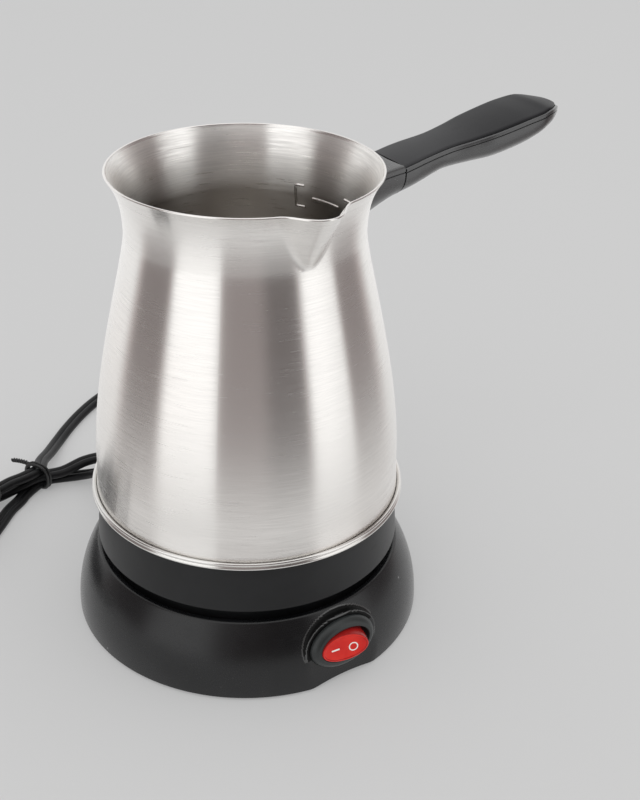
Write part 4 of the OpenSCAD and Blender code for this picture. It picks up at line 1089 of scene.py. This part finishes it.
def handle_cover():
    """The long lid let into the grip's top, a little proud of its rim."""
    xs, ws = outline_inside(1.15)
    tops = grip_shape((xs - SEAM) / (TIP - SEAM))[1]
    under = -2.2
    rings = []
    for x, w, top in zip(xs, ws, tops):
        w = max(w, 0.05)
        edge = min(0.7, w * 0.5)
        line = [(w - 0.02, under), (w, -0.95)]
        for a in np.radians(np.linspace(0, 75, 6)):
            line.append((w - edge + edge * math.cos(a), -0.9 + 0.7 * math.sin(a)))
        brow = line[-1][1]
        for t in np.linspace(0.86, 0, 8):
            line.append((w * t, brow + (0.22 - brow) * (1 - (t / 0.94) ** 2) * min(1, w / 5)))
        line = both_sides(line) + [(-w / 2, under), (0, under), (w / 2, under)]
        rings.append([(bowed(x, y), y, top + z) for y, z in line])
    piece("handle_cover", *capped(rings), "lid_charcoal", "pot", ("handle_lid",), 42)


def handle_neck():
    """The collar between the grip and the pot, flared to fit the pot's wall."""
    def ring(w, top, low):
        """A section of the collar, from its half width, top and underside."""
        line = [(w - 1.6, 0.0), (w - 0.9, -0.08), (w - 0.35, -0.4), (w - 0.05, -0.95), (w, -1.75),
                (w - 0.35, -1.9), (w - 0.35, -2.2), (w, -2.3)]
        deep = top - low - 2.35
        for a in np.radians(np.linspace(0, 90, 20))[1:]:
            line.append((w * math.cos(a) ** 0.9, -2.35 - deep * math.sin(a) ** 0.8))
        line = both_sides(line) + [(y, 0.0) for y in np.linspace(-w + 2.2, w - 2.2, 9)]
        return np.array([(y, top + z) for y, z in line])

    start = ring(10.1, Z_TOP - 0.5, Z_TOP - 12.5)
    end = ring(12.4, Z_TOP - 1.6, Z_TOP - 19)
    into, first, middle, chamfer = 0.1, SEAM - 0.2, Z_TOP - 6, 0.955
    reach = np.sqrt((wall_at(end[:, 1]) + into) ** 2 - end[:, 0] ** 2)
    rings = [[(bowed(first, y), y * chamfer, (z - middle) * chamfer + middle) for y, z in start]]
    for t in np.linspace(0, 1, 26):
        x = first - 0.35 + (reach - first + 0.35) * t
        where = start + (end - start) * np.array([t ** 1.2, t ** 1.35])
        wall = np.sqrt(np.maximum((wall_at(where[:, 1]) + into) ** 2 - where[:, 0] ** 2, 1))
        rings.append([(max(bowed(a, y), b), y, z) for a, b, (y, z) in zip(x, wall, where)])
    rings = np.array(rings) * MM
    last = rings[-1].mean(0)
    last[0] = (wall_at(last[2] / MM) + into) * MM
    piece("handle_neck", *skin(rings, rings[0].mean(0), last), "handle_black", "pot",
          ("handle_collar",), 42)


handle_grip()
handle_cover()
handle_neck()


# ---------------- studio

# the way that turns round the room are measured from, away from the camera
AWAY = math.radians(-118.9)
# soft boxes and dim screens that shine sees: level, first and last turn in degrees, and how
# softly each begins and ends
ROUND_ABOUT = (-109, 126, 9, 14)
BOXES = ((0.30, -20, 16, 3, 8), (1.32, -67, -22, 5, 4), (1.3, 48.5, 72, 5, 9),
         (1.15, 72, 85, 9, 4), (0.27, 85, 126, 4, 14), (0.24, -109, -67, 9, 5),
         (0.15, 16, 48.5, 8, 5))
# the room's level as the camera sees it, for plain light, and overhead for shine
SEEN, PLAIN, OVERHEAD = 0.604, 0.85, 1.2


def floor():
    """A pale floor. Shine sees it only as far as a table reaches, and the room past that."""
    mesh = bpy.data.meshes.new("floor")
    mesh.from_pydata([(-6, -6, 0), (6, -6, 0), (6, 6, 0), (-6, 6, 0)], [], [(0, 1, 2, 3)])
    made = bpy.data.objects.new("floor", mesh)
    bpy.context.scene.collection.objects.link(made)
    look = Look("pale_floor", Roughness=0.9, Specular_IOR_Level=0.0, Emission_Strength=1.0)
    look.set("Base Color", (0.38, 0.38, 0.38))
    x, y, _ = look.split(look.place())
    far = ((x * x + y * y) ** 0.5).between(0.08, 0.5)
    glossy = look.node("LightPath", output="Is Glossy Ray")
    look.set("Emission Color", look.mix(glossy, (0.255, 0.255, 0.255), (0.45, 0.45, 0.45)))
    near = Value(look, look.shader.outputs[0])
    mixed = look.node("MixShader", inputs=(far * glossy, near, look.node("BsdfTransparent")))
    look.give(look.tree.nodes["Material Output"].inputs["Surface"], mixed)
    mesh.materials.append(look.material)


def lamp(name, place, power):
    """A round soft lamp, aimed at the pot."""
    light = bpy.data.lights.new(name, "AREA")
    light.shape = "DISK"
    light.size = 1.4
    light.energy = power
    made = bpy.data.objects.new(name, light)
    made.location = place
    aim = Vector((0, 0, 0.08)) - Vector(place)
    made.rotation_euler = aim.to_track_quat("-Z", "Y").to_euler()
    made.visible_glossy = False
    bpy.context.scene.collection.objects.link(made)


def studio():
    """A pale room. Shiny surfaces see broad soft boxes round it, with dark screens between."""
    world = bpy.data.worlds.new("room")
    bpy.context.scene.world = world
    world.use_nodes = True
    room = Nodes(world.node_tree)
    x, y, z = room.split(room.node("TexCoord", output="Generated"))
    c, s = math.cos(AWAY), math.sin(AWAY)
    turn = room.node("Math", {"operation": "ARCTAN2"}, (y * c - x * s, x * c + y * s))
    turn = turn * (180 / math.pi)

    def band(low, high, edge, last):
        return turn.between(low - edge, low + edge) * (1 - turn.between(high - last, high + last))

    shine = 1 - band(*ROUND_ABOUT)
    for level, *span in BOXES:
        shine = shine + level * band(*span)
    over = z.between(0.74, 0.9)
    shine = shine * (1 - over) + OVERHEAD * over
    path = room.node("LightPath", output="Is Camera Ray")
    glossy = path.other("Is Glossy Ray")
    back = room.tree.nodes["Background"]
    room.give(back.inputs["Strength"],
              path * SEEN + glossy * shine + (1 - path) * (1 - glossy) * PLAIN)
    # dim shine is a little warm
    pale = 1 - glossy * (1 - shine.between(0.35, 0.95))
    room.give(back.inputs["Color"], room.mix(pale, (1, 0.875, 0.86), (1, 1, 1)))
    lamp("key", (-0.9, -0.9, 1.6), 5)
    lamp("fill", (1.2, -0.6, 1.2), 2)


floor()
studio()
bpy.context.scene.view_settings.view_transform = "Standard"
